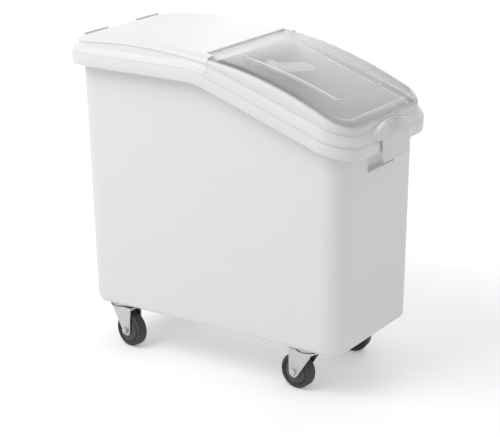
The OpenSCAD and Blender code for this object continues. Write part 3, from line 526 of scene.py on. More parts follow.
def matt_moulding(name, colour, rough):
    """Moulded rubber or nylon: matt, with a fine mould grain and dusty high spots."""
    material, tree = new_material(name)
    place = add(tree, "ShaderNodeTexCoord", (-900, 0)).outputs["Object"]
    grain = add(tree, "ShaderNodeTexNoise", (-700, 0),
                {"Vector": place, "Scale": scale_for(2.2), "Detail": 4.0, "Roughness": 0.65})
    tint = add(tree, "ShaderNodeValToRGB", (-500, 200), {"Fac": grain.outputs["Fac"]})
    tint.color_ramp.elements[0].color = tuple(c * 0.75 for c in colour) + (1,)
    tint.color_ramp.elements[1].color = tuple(min(1, c * 1.25) for c in colour) + (1,)
    relief = add(tree, "ShaderNodeBump", (-300, -300),
                 {"Height": grain.outputs["Fac"], "Strength": 0.25, "Distance": 0.0004})
    shader = add(tree, "ShaderNodeBsdfPrincipled", (200, 0),
                 {"Base Color": tint.outputs["Color"], "Normal": relief.outputs["Normal"],
                  "Roughness": rough, "IOR": 1.52})
    finish_material(tree, shader)
    return material


def plated_steel(name, colour, rough, grain_size):
    """Zinc-plated or stainless steel: a soft metal shine, clouded by the plating's fine spangle."""
    material, tree = new_material(name)
    place = add(tree, "ShaderNodeTexCoord", (-900, 0)).outputs["Object"]
    cloud = add(tree, "ShaderNodeTexNoise", (-700, 100),
                {"Vector": place, "Scale": scale_for(grain_size), "Detail": 4.0, "Roughness": 0.6})
    tint = add(tree, "ShaderNodeValToRGB", (-500, 200), {"Fac": cloud.outputs["Fac"]})
    tint.color_ramp.elements[0].color = tuple(c * 0.8 for c in colour) + (1,)
    tint.color_ramp.elements[1].color = tuple(min(1, c * 1.08) for c in colour) + (1,)
    gloss = add(tree, "ShaderNodeMapRange", (-500, -100),
                {"Value": cloud.outputs["Fac"], "To Min": rough - 0.08, "To Max": rough + 0.1})
    shader = add(tree, "ShaderNodeBsdfPrincipled", (200, 0),
                 {"Base Color": tint.outputs["Color"], "Roughness": gloss.outputs["Result"],
                  "Metallic": 1.0})
    finish_material(tree, shader)
    return material


def finishes(context):
    """The bin's materials by slot, each made once under the name of the real material."""
    paints = context.scene.flour_bin_finishes
    makers = {
        "white_polyethylene": (moulded_polyethylene, "moulded_polyethylene", paints.moulding),
        "clear_polycarbonate": (moulded_polycarbonate, "moulded_polycarbonate", paints.clear),
        "strip_rubber": (matt_moulding, "extruded_rubber", paints.strip, 0.7),
        "tyre_rubber": (matt_moulding, "moulded_rubber", paints.tyre, 0.62),
        "hub_plastic": (matt_moulding, "moulded_nylon", paints.hub, 0.5),
        "zinc_steel": (plated_steel, "zinc_plated_steel", paints.zinc, 0.3, 3.0),
        "stainless_steel": (plated_steel, "drawn_stainless_steel", paints.stainless, 0.24, 1.2),
    }
    return {slot: bpy.data.materials.get(name) or make(name, *rest)
            for slot, (make, name, *rest) in makers.items()}


def tub_line(form):
    """Stations once round the tub, close together at the recess's sides."""
    half = form.s.recess_width / 2
    side_x = np.linspace(form.rear_core, form.nose_start, 62)[1:-1]
    fine = np.linspace(-5, 5, 11) * MM
    even = np.linspace(-form.side_core, form.side_core, 23)[1:-1]
    across = np.unique(np.round(np.concatenate([half + fine, -half + fine, even]), 6))
    across = across[np.abs(across) < form.side_core - OVERLAP] / form.side_core
    return np.concatenate([
        stations(form.share(side_x), -1, -90.0), corner(1, -1, -90), stations(1, across, 0.0),
        corner(1, 1, 0), stations(form.share(side_x[::-1]), 1, 90.0), corner(0, 1, 90),
        stations(0, np.linspace(1, -1, 17)[1:-1], 180.0), corner(0, -1, 180)])


def rim_profile(s):
    """The rim's section, out from the wall and up from its base: flange, lip, round and collar."""
    fillet = s.rim_fillet
    skin = s.rim_skin
    collar_fillet = 2 * MM
    lip = [(s.rim_overhang + s.rim_swell * math.sin(math.pi * t),
            -s.rim_depth + skin / 2 + t * (s.rim_depth - skin / 2 - s.rim_round))
           for t in (0.15, 0.3, 0.5, 0.7, 0.85)]
    return np.array(
        arc((fillet, -skin - fillet), fillet, 180, 90, 6)[1:]
        + arc((s.rim_overhang - skin - fillet, -skin - fillet), fillet, 90, 0, 6)
        + arc((s.rim_overhang - skin / 2, -s.rim_depth + skin / 2), skin / 2, 180, 360, 10)
        + lip
        + arc((s.rim_overhang - s.rim_round, -s.rim_round), s.rim_round, 0, 90, 6)
        + arc((collar_fillet, collar_fillet), collar_fillet, 270, 180, 4)
        + arc((-s.tub_wall / 2, s.collar_height - s.tub_wall / 2), s.tub_wall / 2, 0, 180, 10))


def press_recess(form, area, grow):
    """Presses the finger recess into rows of points of the front wall, wider by grow on the inside."""
    s = form.s
    bottom = form.front_rim - s.rim_skin * 7 / 8 - s.recess_height
    top = form.front_rim - s.rim_skin - OVERLAP
    y, z = area[..., 1], area[..., 2]
    sunk = (ramp(s.recess_width / 2 + grow - np.abs(y), *RECESS_EASE)
            * ramp(z - bottom + grow, *RECESS_EASE)
            * (1 if grow == 0 else 1 - ramp(z - top, *RECESS_FADE)))
    area[..., 0] -= s.recess_depth * sunk
    return area


class FLOURBIN_OT_tub(bpy.types.Operator):
    """Moulds the smooth white tub with its rolled rim, collar and finger recess"""
    bl_idname = "flour_bin.tub"
    bl_label = "Tub"

    def execute(self, context):
        form = Form(context.scene.flour_bin_sizes)
        s = form.s
        line = tub_line(form)
        count = len(line)
        base = form.rim_z(form.foot(line)[:, 0])[:, None]
        rows = np.unique(np.round(np.concatenate([np.linspace(0, 1, 15), np.linspace(0.8, 1, 45)]), 5))
        low = s.underside + s.floor_radius
        inner_low = form.floor_top + s.inner_floor_radius
        inner_top = base + s.collar_height - s.tub_wall / 2
        foot_arc = np.array(arc((-s.floor_radius, low), s.floor_radius, -90, 0, 8))
        wall_z = low + rows[None, 1:] * (base - s.rim_skin - s.rim_fillet - low)
        rim = rim_profile(s)
        inner_z = inner_low + rows[None, ::-1][:, 1:-1] * (inner_top - inner_low)
        inner_arc = np.array(arc((-s.tub_wall - s.inner_floor_radius, inner_low), s.inner_floor_radius,
                                 0, -90, 7))

        def ring(out, z):
            return np.broadcast_to(out, (count, z.shape[1])), np.broadcast_to(z, (count, z.shape[1]))

        parts = [ring(foot_arc[None, :, 0], foot_arc[None, :, 1]), ring(np.zeros((1, 1)), wall_z),
                 ring(rim[None, :, 0], base + rim[None, :, 1]), ring(np.full((1, 1), -s.tub_wall), inner_z),
                 ring(inner_arc[None, :, 0], inner_arc[None, :, 1])]
        points = form.spot(line, *(np.concatenate(values, axis=1) for values in zip(*parts)))
        front = on_front(line)
        first = len(foot_arc)
        under_rim = first + wall_z.shape[1]
        fillet_rows = 5
        inside = under_rim + len(rim)
        for start, stop, grow in ((first, under_rim + fillet_rows, 0.0),
                                  (inside, inside + inner_z.shape[1], s.tub_wall)):
            points[front, start:stop] = press_recess(form, points[front, start:stop], grow)
        rings = points.shape[1]
        numbers = np.arange(count * rings).reshape(count, rings)
        faces = []
        for k in range(count):
            faces += strip_faces(numbers[k], numbers[(k + 1) % count])
        faces.append(tuple(numbers[:, 0]))
        faces.append(tuple(numbers[::-1, -1]))
        tub = new_piece("moulded_tub", points.reshape(-1, 3), faces, MOULDING_SHARP)
        settle(tub, "tub", "bin", finishes(context)["white_polyethylene"])
        return {"FINISHED"}


def rounded_line(corners, radii, steps=3):
    """A polyline's corners turned to small curves, for many stations at once."""
    points = [corners[0]]
    for i in range(1, len(corners) - 1):
        before, here, after = corners[i - 1], corners[i], corners[i + 1]
        into = (before - here) / np.linalg.norm(before - here, axis=-1, keepdims=True)
        away = (after - here) / np.linalg.norm(after - here, axis=-1, keepdims=True)
        for t in np.linspace(0, 1, steps + 1):
            points.append((1 - t) ** 2 * (here + into * radii[i]) + 2 * t * (1 - t) * here
                          + t ** 2 * (here + away * radii[i]))
    points.append(corners[-1])
    return np.stack(points, axis=1)


def lid_section(form, line, inset, gap):
    """The upright section of a lid at each station, from its lower edge to the top of its shoulder."""
    s = form.s
    foot = form.foot(line)
    front = on_front(line)
    side = np.abs(foot[:, 1])
    # The pull stands out over the middle of the front, with a tongue below and an arched face above.
    reach = s.pull_width / 2 + s.pull_corner
    pull = np.where(front, 1 - ramp(side, reach, reach + s.pull_blend), 0)
    tongue = np.where(front, 1 - ramp(side, s.pull_width / 2, reach), 0)
    arch = np.where(front, np.sqrt(np.maximum(0, 1 - (side / (reach + s.pull_blend)) ** 2)), 0)
    # Heights of the lip, the crease above it and the top of the shoulder.
    rim = form.rim_z(foot[:, 0])
    base = rim + gap
    lip = base + s.lid_lip + s.pull_lift * arch
    behind = (form.joint_x - foot[:, 0]) / s.crest_back
    shoulder = s.shoulder_height + s.shoulder_swell * np.maximum(0, 1 - np.abs(behind))
    rise = s.crease_rise + s.crease_lift * np.clip(behind, 0, 1)
    crease = np.minimum(form.lid_top(foot[:, 0]) - shoulder, np.maximum(rim + rise, lip + 2 * s.lid_step))
    top = form.lid_top(form.foot(line, -s.shoulder_in)[:, 0])
    # Corners of the side, each with its place outwards, its height and the length that its curve takes.
    # The last one only gives the crease its direction.
    edge = form.lid_reach + s.pull_out * pull - inset
    upper = edge - s.pull_lean * arch
    sunk = inset * arch
    ledge = (upper - s.lid_step, lip + s.lid_step - inset * np.maximum(arch, LEDGE_SINK))
    under = (s.crease_out - s.lid_step - inset, crease - s.lid_step * 3 / 4 - sunk)
    hollow = np.clip((form.nose_start - foot[:, 0]) / (form.nose_start - form.joint_x), 0, 1)
    cove = (ledge[0] + (under[0] - ledge[0]) * COVE_IN,
            ledge[1] + (under[1] - ledge[1]) * (COVE_IN - COVE_DEEP * hollow))
    steps = [
        (edge, base - s.pull_drop * tongue, 0),
        (edge, base + s.lid_lip / 2, 0.6 * MM),
        (upper, lip - sunk, 0.9 * MM),
        (*ledge, 0.7 * MM),
        (*cove, 3.2 * MM),
        (*under, 0.4 * MM),
        (s.crease_out - inset, crease - sunk, 0.5 * MM),
        (s.crease_out - inset - 0.4 * MM, crease + 1.5 * MM - sunk, 0),
    ]
    corners = [np.stack(np.broadcast_arrays(out, height), axis=-1) for out, height, curve in steps]
    lower = rounded_line(corners, [curve for out, height, curve in steps])[:, :-1]
    turn = np.radians(np.linspace(12, 90, 14))
    out = -s.shoulder_in + (s.crease_out + s.shoulder_in - inset) * np.cos(turn)
    height = (crease - sunk)[:, None] + (top - crease + sunk - inset)[:, None] * np.sin(turn)
    upper_part = np.stack([np.broadcast_to(out, height.shape), height], axis=-1)
    profile = np.concatenate([lower, upper_part], axis=1)
    places = form.spot(line, profile[..., 0], np.full((1, 1), s.rim_height))
    places[..., 2] = profile[..., 1]
    return places


def panel_side(form, x):
    """The raised panel's half width between its tapering sides."""
    s = form.s
    share = np.clip((x - form.panel_x) / (form.panel_end - form.panel_x), 0, 1)
    return s.panel_rear_half + (s.panel_front_half - s.panel_rear_half) * share


def panel_depth(form, x, y):
    """How far a point lies inside the raised panel's rounded outline."""
    s = form.s
    side = panel_side(form, x) - np.abs(y)
    ahead = form.panel_end - x
    behind = s.panel_arch - np.hypot(x - form.panel_x - s.panel_arch, y)
    short = [np.maximum(s.panel_corner - d, 0) for d in (side, ahead, behind)]
    return s.panel_corner - np.sqrt(sum(d ** 2 for d in short))


def lid_rows(form, line, last, columns, inset, panelled):
    """The rows of points across a lid's top, one for each pair of stations before the end row."""
    s = form.s
    edge = form.foot(line, -s.shoulder_in)[:last]
    half = np.abs(edge[:, 1])[:, None]
    y = columns[None] * half
    x = np.broadcast_to(edge[:, :1], y.shape).copy()
    if panelled:
        # Columns follow the panel's tapering sides, and rows bow back to its arched end.
        side = panel_side(form, edge[:, :1])
        panel_share = s.panel_front_half / form.side_core
        share = np.abs(columns)[None]
        y = np.sign(columns)[None] * np.where(
            share < panel_share, share / panel_share * side,
            side + (share - panel_share) / (1 - panel_share) * (half - side))
        inside = np.minimum(np.abs(y), s.panel_rear_half)
        bow = np.sqrt(s.panel_arch ** 2 - inside ** 2) - s.panel_arch + form.panel_sag
        lean = np.where(x < form.panel_row, (x - form.joint_x) / (form.panel_row - form.joint_x),
                        (form.panel_end - x) / (form.panel_end - form.panel_row))
        x -= np.clip(lean, 0, 1) * bow
    sideways = np.abs(np.sin(line[:last, 2]))[:, None]
    fade = sideways * ramp(np.abs(x - form.joint_x), *CROWN_FADE)
    z = form.lid_top(x) + s.crown_rise * fade * (1 - (y / half) ** 2) - inset
    if panelled:
        z += s.panel_rise * ramp(panel_depth(form, x, y) - inset / 2, -s.panel_edge, s.panel_edge / 2)
    return np.stack([x, y, z], axis=-1)


def lid_mesh(name, form, line, columns, gap, panelled):
    """A closed lid shell: outer and inner skins, joined along the lower edge and the joint."""
    s = form.s
    across = len(columns)
    last = (len(line) - across) // 2
    skins = []
    for inset in (0.0, s.lid_wall):
        sides = lid_section(form, line, inset, gap)
        top = lid_rows(form, line, last, columns, inset, panelled)
        skins.append((sides, top))
    rings = skins[0][0].shape[1]
    count = len(line)
    size = count * rings + last * (across - 2)
    points = np.concatenate([part.reshape(-1, 3) for sides, top in skins for part in (sides, top[:, 1:-1])])
    edge = np.arange(count * rings).reshape(count, rings)
    inner = count * rings + np.arange(last * (across - 2)).reshape(last, across - 2)
    rows = [[edge[k, -1], *inner[k], edge[count - 1 - k, -1]] for k in range(last)]
    rows.append(list(edge[last:last + across, -1]))
    faces = []
    for k in range(count - 1):
        faces += strip_faces(edge[k], edge[k + 1])
    for k in range(last):
        faces += strip_faces(rows[k], rows[k + 1])
    faces += [tuple(v + size for v in reversed(face)) for face in faces]
    profile = [*edge[0], *inner[0], *edge[count - 1][::-1]]
    for rim in (list(edge[:, 0]), profile):
        faces += strip_faces(rim, [v + size for v in rim])
    return new_piece(name, points, faces, MOULDING_SHARP)


class FLOURBIN_OT_rear_cover(bpy.types.Operator):
    """Moulds the white rear cover with its hinge ears and slots"""
    bl_idname = "flour_bin.rear_cover"
    bl_label = "Rear cover"

    def execute(self, context):
        form = Form(context.scene.flour_bin_sizes)
        s = form.s
        side_x = np.linspace(form.joint_x + form.ear_front, form.rear_core, 46)[:-1]
        columns = np.linspace(-1, 1, 61)
        line = np.concatenate([
            stations(form.share(side_x), 1, 90.0), corner(0, 1, 90, 18),
            stations(0, -columns[1:-1], 180.0), corner(0, -1, 180, 18),
            stations(form.share(side_x[::-1]), -1, 270.0)])
        cover = lid_mesh("moulded_rear_cover", form, line, -columns, 0.0, False)
        x, z = form.joint_x, form.hinge_z
        half = form.barrel_half
        back = s.barrel_radius + BARREL_ROOM
        front = form.ear_front + OVERLAP
        deep = -4 * s.barrel_radius
        high = s.hinge_drop + 2 * OVERLAP
        channel = [(-back, deep), (-back, s.barrel_radius / 3), (-back - JOINT_CHAMFER, high),
                   (front, high), (front, deep)]
        carve(cover, prism(channel, x, z, -half - s.ear_gap, half + s.ear_gap), "DIFFERENCE")
        ear = [(front, 0.0), (front, high), (0.0, high)] + arc((0, 0), form.ear_front, 90, 0, 12)
        carve(cover, prism(ear, x, z, -s.tub_width, s.tub_width), "DIFFERENCE")
        wall = s.lid_wall
        drop = -s.barrel_radius - BARREL_ROOM
        lip = s.barrel_radius + APRON_LIP
        apron = [(-APRON_REACH, s.hinge_drop), (-APRON_REACH, drop - wall), (lip, drop - wall), (lip, drop),
                 (-APRON_REACH + wall, drop), (-APRON_REACH + wall, s.hinge_drop)]
        carve(cover, prism(apron, x, z, -half + s.ear_gap, half - s.ear_gap), "UNION")
        for side in (-1, 1):
            ends = sorted((side * (half + s.ear_gap), side * (half + s.ear_gap + s.ear_width)))
            carve(cover, rod(s.barrel_radius - OVERLAP, x, z, *ends), "UNION")
            ends = sorted((side * (half - s.pin_length / 2), side * (half + s.pin_length / 2)))
            carve(cover, rod(s.pin_diameter / 2 + FIT, x, z, *ends), "DIFFERENCE")
        low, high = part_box("lid_rest_strips")
        for near, far in ((low.y, -STRIP_INNER), (STRIP_INNER, high.y)):
            carve(cover, block((low.x - FIT, near - FIT, low.z),
                               (high.x + FIT, far + FIT, high.z + 5 * OVERLAP)), "DIFFERENCE")
        smooth(cover.data, MOULDING_SHARP)
        settle(cover, "rear_cover", "bin", finishes(context)["white_polyethylene"])
        return {"FINISHED"}


def painted_highlight_and_frost(piece, kind, shares):
    """Marks each point or face of a clear piece from 0 to 1 with its painted edge highlight, and on the lid
    also its frost.
    """
    mark = piece.data.attributes.new("painted_highlight_and_frost", "FLOAT", kind)
    mark.data.foreach_set("value", np.clip(shares, 0, 1).astype(np.float32))


def lid_edges(form, lid):
    """Painted highlight along the raised panel's outline on the front lid, and the frost over its skirt."""
    s = form.s
    x, y, z = np.array([point.co for point in lid.data.vertices]).T
    depth = form.lid_top(x) - z
    edge_width = 1.3 * MM
    # A thin painted highlight along the raised panel's outline.
    panel = np.exp(-((panel_depth(form, x, y) + s.panel_edge * 0.3) / edge_width) ** 2)
    on_top = (depth < s.lid_wall + MM) & (np.abs(y) < s.panel_rear_half + 6 * MM)
    barrel = (x < form.joint_x + 10 * MM) & (np.abs(y) < form.barrel_half + 0.5 * MM)
    return np.maximum(PANEL_PAINTED_HIGHLIGHT * panel * on_top, SKIRT_FROST * ramp(depth, *FROST_DEPTHS) * ~barrel)


def clip_edges(clip):
    """Painted highlight on the scoop clip: its narrow sides, which are the faces that stand upright."""
    return np.array([0.0 if abs(face.normal.z) > 0.85 else CLIP_PAINTED_HIGHLIGHT for face in clip.data.polygons])


def lid_columns(form):
    """Shares of the half width across the front lid, close together at the panel's sides."""
    s = form.s
    panel = s.panel_front_half / form.side_core
    fine = np.linspace(0, 4, 9) * MM
    beyond = form.side_core + s.corner_radius - s.shoulder_in - s.panel_front_half
    outside = panel + fine * (1 - panel) / beyond
    inside = panel - fine[1:6] / form.side_core
    half = np.unique(np.round(np.concatenate([np.linspace(0, 1, 53), outside, inside]), 6))
    return np.concatenate([-half[:0:-1], half])


class FLOURBIN_OT_front_lid(bpy.types.Operator):
    """Moulds the clear front lid with its raised panel, pull and hinge barrel"""
    bl_idname = "flour_bin.front_lid"
    bl_label = "Front lid"

    def execute(self, context):
        form = Form(context.scene.flour_bin_sizes)
        s = form.s
        fine = np.linspace(-4, 6, 11) * MM
        even = np.linspace(form.joint_x, form.nose_start, 60)[:-1]
        side_x = np.unique(np.round(np.concatenate([even, form.panel_row + fine, form.panel_end - fine]), 6))
        side_x = side_x[side_x < form.nose_start - 0.5 * MM]
        columns = lid_columns(form)
        line = np.concatenate([
            stations(form.share(side_x), -1, -90.0), corner(1, -1, -90, 18),
            stations(1, columns[1:-1], 0.0), corner(1, 1, 0, 18),
            stations(form.share(side_x[::-1]), 1, 90.0)])
        lid = lid_mesh("clear_front_lid", form, line, columns, s.lid_gap, True)
        x, z = form.joint_x, form.hinge_z
        half = form.barrel_half
        notch = form.ear_front + s.ear_gap
        tall = 100 * MM
        for side in (-1, 1):
            ends = sorted((side * half, side * s.tub_width))
            carve(lid, block((x - OVERLAP, ends[0], s.rim_height - tall),
                             (x + notch, ends[1], s.rim_height + tall)), "DIFFERENCE")
        carve(lid, rod(s.barrel_radius, x, z, -half, half), "UNION")
        for side in (-1, 1):
            ends = sorted((side * (half - s.pin_length / 2 - FIT), side * (half + s.pin_length / 2)))
            carve(lid, rod(s.pin_diameter / 2 + FIT, x, z, *ends), "DIFFERENCE")
        smooth(lid.data, MOULDING_SHARP)
        painted_highlight_and_frost(lid, "POINT", lid_edges(form, lid))
        settle(lid, "front_lid", "lid", finishes(context)["clear_polycarbonate"])
        return {"FINISHED"}


def dressed(node, bevel, sharp=35.0):
    """A copy of a solid's mesh with its loose triangles joined and its edges eased."""
    source = frame["nodes"][node]
    shape = bmesh.new()
    shape.from_mesh(source.data)
    bmesh.ops.remove_doubles(shape, verts=shape.verts, dist=0.01 * MM)
    bmesh.ops.dissolve_limit(shape, angle_limit=math.radians(0.5), verts=shape.verts, edges=shape.edges)
    mesh = bpy.data.meshes.new(node + "_finished")
    shape.to_mesh(mesh)
    shape.free()
    piece = bpy.data.objects.new(node + "_finished", mesh)
    bpy.context.scene.collection.objects.link(piece)
    if bevel:
        ease = piece.modifiers.new("eased_edges", "BEVEL")
        ease.width = bevel
        ease.segments = 2
        ease.limit_method = "ANGLE"
        ease.angle_limit = math.radians(40)
        evaluated(piece)
    smooth(piece.data, sharp)
    return piece


def new_tree(name, sockets):
    """A node tree that makes a shape, with its named inputs; returns it and the node they come from."""
    tree = bpy.data.node_groups.new(name, "GeometryNodeTree")
    tree.interface.new_socket("Geometry", in_out="OUTPUT", socket_type="NodeSocketGeometry")
    for label, kind in sockets.items():
        tree.interface.new_socket(label, in_out="INPUT", socket_type="NodeSocket" + kind)
    return tree, add(tree, "NodeGroupInput", (-1200, 0)).outputs


def finish_tree(tree, shape, material):
    """Makes a tree's result plain and gives it its material."""
    plain = add(tree, "GeometryNodeRealizeInstances", (900, 0), {"Geometry": shape})
    even = add(tree, "GeometryNodeSetShadeSmooth", (1050, 0), {"Geometry": plain.outputs[0]})
    painted = add(tree, "GeometryNodeSetMaterial", (1200, 0), {
        "Geometry": even.outputs[0], "Material": material})
    add(tree, "NodeGroupOutput", (1400, 0), {0: painted.outputs[0]})
    return tree


def grown(name, tree, start, values, sharp=35.0):
    """A plain mesh made by a tree, from a starting mesh and values for the tree's inputs."""
    piece = bpy.data.objects.new(name, start)
    bpy.context.scene.collection.objects.link(piece)
    change = piece.modifiers.new(tree.name, "NODES")
    change.node_group = tree
    for socket in tree.interface.items_tree:
        if socket.in_out == "INPUT" and socket.name in values:
            change[socket.identifier] = values[socket.name]
    evaluated(piece)
    if len(piece.data.polygons) == 0:
        raise RuntimeError(f"{name}: the tree made nothing")
    smooth(piece.data, sharp)
    return piece


def places_mesh(name, places):
    """A mesh of loose points."""
    mesh = bpy.data.meshes.new(name)
    mesh.from_pydata([tuple(p) for p in places], [], [])
    return mesh


def turned(name, profile, steps, sharp=32.0):
    """A closed shape turned about the Z axis from radii and heights; six steps make a hexagon."""
    turn = np.radians(np.arange(steps) * 360 / steps)
    points, rings = [], []
    for radius, height in profile:
        spots = [(0, 0, height)] if radius == 0 else [
            (radius * math.cos(t), radius * math.sin(t), height) for t in turn]
        rings.append([len(points) + i % len(spots) for i in range(steps + 1)])
        points += spots
    faces = []
    for first, second in zip(rings, rings[1:] + rings[:1] if profile[0][0] else rings[1:]):
        for face in strip_faces(first, second):
            corners = list(dict.fromkeys(int(v) % len(points) for v in face))
            if len(corners) > 2:
                faces.append(corners)
    return new_piece(name, points, faces, sharp)


def joints_named(ending):
    """The record's joints whose names end so."""
    return [joint for joint in frame["record"]["behaviour"]["joints"] if joint["name"].endswith(ending)]


def fastener_tree():
    """Sets one fastener at the corners of a rectangle round each caster's axis."""
    tree, given = new_tree("plate_fasteners", {
        "Casters": "Geometry", "Fastener": "Object", "Spacing along": "Float", "Spacing across": "Float",
        "Material": "Material"})
    grid = add(tree, "GeometryNodeMeshGrid", (-900, 200), {
        "Size X": given["Spacing along"], "Size Y": given["Spacing across"],
        "Vertices X": 2, "Vertices Y": 2})
    grids = add(tree, "GeometryNodeInstanceOnPoints", (-600, 200), {
        "Points": given["Casters"], "Instance": grid.outputs["Mesh"]})
    holes = add(tree, "GeometryNodeRealizeInstances", (-300, 200), {"Geometry": grids.outputs[0]})
    single = add(tree, "GeometryNodeObjectInfo", (-300, -100), {"Object": given["Fastener"]})
    filled = add(tree, "GeometryNodeInstanceOnPoints", (0, 100), {
        "Points": holes.outputs[0], "Instance": single.outputs["Geometry"]})
    return finish_tree(tree, filled.outputs[0], given["Material"])


def ball_tree():
    """Sets a ring of balls round each caster's axis."""
    tree, given = new_tree("bearing_balls", {
        "Casters": "Geometry", "Ball count": "Int", "Ring radius": "Float", "Ball radius": "Float",
        "Material": "Material"})
    ring = add(tree, "GeometryNodeMeshCircle", (-900, 200), {
        "Vertices": given["Ball count"], "Radius": given["Ring radius"]})
    rings = add(tree, "GeometryNodeInstanceOnPoints", (-600, 200), {
        "Points": given["Casters"], "Instance": ring.outputs["Mesh"]})
    seats = add(tree, "GeometryNodeRealizeInstances", (-300, 200), {"Geometry": rings.outputs[0]})
    ball = add(tree, "GeometryNodeMeshUVSphere", (-300, -100), {
        "Segments": 20, "Rings": 12, "Radius": given["Ball radius"]})
    filled = add(tree, "GeometryNodeInstanceOnPoints", (0, 100), {
        "Points": seats.outputs[0], "Instance": ball.outputs["Mesh"]})
    return finish_tree(tree, filled.outputs[0], given["Material"])


def tyre_tree():
    """Turns a tyre of rounded section with ribs round both sides, and stands it at its axle."""
    tree, given = new_tree("ribbed_tyre", {
        "Middle radius": "Float", "Height": "Float", "Width": "Float", "Shoulder": "Float",
        "Rib count": "Int", "First rib": "Float", "Rib step": "Float", "Rib radius": "Float",
        "Axle": "Vector", "Turn": "Vector", "Material": "Material"})
    round_path = add(tree, "GeometryNodeCurvePrimitiveCircle", (-900, 300), {
        "Resolution": TYRE_STEPS, "Radius": given["Middle radius"]})
    section = add(tree, "GeometryNodeCurvePrimitiveQuadrilateral", (-900, 100), {
        "Width": given["Height"], "Height": given["Width"]})
    eased = add(tree, "GeometryNodeFilletCurve", (-700, 100), {
        "Curve": section.outputs[0], "Radius": given["Shoulder"], "Count": 8, "Limit Radius": True},
        mode="POLY")
    body = add(tree, "GeometryNodeCurveToMesh", (-500, 300), {
        "Curve": round_path.outputs[0], "Profile Curve": eased.outputs[0]})
    number = add(tree, "GeometryNodeInputIndex", (-900, -200))
    radius = add(tree, "ShaderNodeMath", (-700, -200), {
        0: number.outputs[0], 1: given["Rib step"], 2: given["First rib"]}, operation="MULTIPLY_ADD")
    half = add(tree, "ShaderNodeMath", (-900, -350), {0: given["Width"], 1: 0.5}, operation="MULTIPLY")
    side = add(tree, "ShaderNodeCombineXYZ", (-700, -350), {"Z": half.outputs[0]})
    spots = add(tree, "GeometryNodePoints", (-500, -200), {
        "Count": given["Rib count"], "Position": side.outputs[0]})
    unit = add(tree, "GeometryNodeCurvePrimitiveCircle", (-500, -400), {
        "Resolution": TYRE_STEPS, "Radius": 1.0})
    circles = add(tree, "GeometryNodeInstanceOnPoints", (-300, -200), {
        "Points": spots.outputs[0], "Instance": unit.outputs[0], "Scale": radius.outputs[0]})
    lines = add(tree, "GeometryNodeRealizeInstances", (-100, -200), {"Geometry": circles.outputs[0]})
    bead = add(tree, "GeometryNodeCurvePrimitiveCircle", (-100, -400), {
        "Resolution": 10, "Radius": given["Rib radius"]})
    ribs = add(tree, "GeometryNodeCurveToMesh", (100, -200), {
        "Curve": lines.outputs[0], "Profile Curve": bead.outputs[0]})
    other = add(tree, "GeometryNodeTransform", (300, -300), {
        "Geometry": ribs.outputs[0], "Rotation": (math.pi, 0, 0)})
    whole = add(tree, "GeometryNodeJoinGeometry", (500, 0))
    for part in (other, ribs, body):
        tree.links.new(part.outputs[0], whole.inputs[0])
    stood = add(tree, "GeometryNodeTransform", (700, 0), {
        "Geometry": whole.outputs[0], "Translation": given["Axle"], "Rotation": given["Turn"]})
    return finish_tree(tree, stood.outputs[0], given["Material"])


def single_fasteners(s):
    """One bolt, washer and cap nut, each with the height that it stands at, by node."""
    d = s.bolt_diameter
    shank = d / 2
    bore = shank + FIT
    floor_top = s.underside + s.floor_thickness
    head, head_height = d * 0.875, d * 0.55
    shank_end = s.plate_thickness + s.floor_thickness + d
    bolt = [(0, -head_height), (head - 1.9 * MM, -head_height), (head - 1.5 * MM, -d * 0.52),
            (head - 0.1 * MM, -0.2 * MM), (head - 0.2 * MM, 0), (shank, 0), (shank, shank_end),
            (0, shank_end)]
    washer = [(bore, 0), (d - 0.2 * MM, 0), (d, 0.2 * MM), (d, s.washer_height - 0.3 * MM),
              (d - 0.3 * MM, s.washer_height), (bore, s.washer_height)]
    nut, nut_height, dome_radius = d * 0.8125 / math.cos(math.radians(30)), d * 0.8, d * 0.75
    dome = [(dome_radius * math.cos(t), nut_height + dome_radius * math.sin(t))
            for t in np.radians(np.linspace(0, 90, 7)[1:-1])]
    cap_nut = [(bore, 0), (nut - 0.4 * MM, 0), (nut, 0.3 * MM), (nut, nut_height - 0.4 * MM),
               (nut - 0.5 * MM, nut_height)] + dome + [(0, d * 1.55), (0, d), (bore, d)]
    return {
        "caster_bolts": (s.underside - s.plate_thickness, turned("single_bolt", bolt, 32)),
        "caster_washers": (floor_top, turned("single_washer", washer, 40)),
        "caster_cap_nuts": (floor_top + s.washer_height, turned("single_cap_nut", cap_nut, 6)),
    }


class FLOURBIN_OT_fasteners(bpy.types.Operator):
    """Sets the plate bolts, washers, cap nuts and bearing balls of all the casters"""
    bl_idname = "flour_bin.fasteners"
    bl_label = "Bolts and balls"

    def execute(self, context):
        s = context.scene.flour_bin_sizes
        steel = finishes(context)["zinc_steel"]
        axes = [joint["pos_m"][:2] for joint in joints_named("_swivel_turn")]
        rings = fastener_tree()
        for node, (height, single) in single_fasteners(s).items():
            start = places_mesh(node + "_places", [(x, y, height) for x, y in axes])
            piece = grown(node + "_set", rings, start, {
                "Fastener": single, "Spacing along": s.bolt_along, "Spacing across": s.bolt_across,
                "Material": steel}, 30)
            bpy.data.objects.remove(single)
            settle(piece, node, "bin", steel)
        height = s.underside - s.plate_thickness - s.ball_diameter / 2
        start = places_mesh("ball_places", [(x, y, height) for x, y in axes])
        balls = grown("bearing_balls", ball_tree(), start, {
            "Ball count": BALL_COUNT, "Ring radius": s.ball_circle / 2,
            "Ball radius": s.ball_diameter / 2 - BALL_ROOM, "Material": steel})
        nodes = [joint["name"].replace("_swivel_turn", "_balls") for joint in joints_named("_swivel_turn")]
        settle(balls, nodes[0], "bin", steel)
        for node in nodes[1:]:
            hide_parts(node)
        return {"FINISHED"}


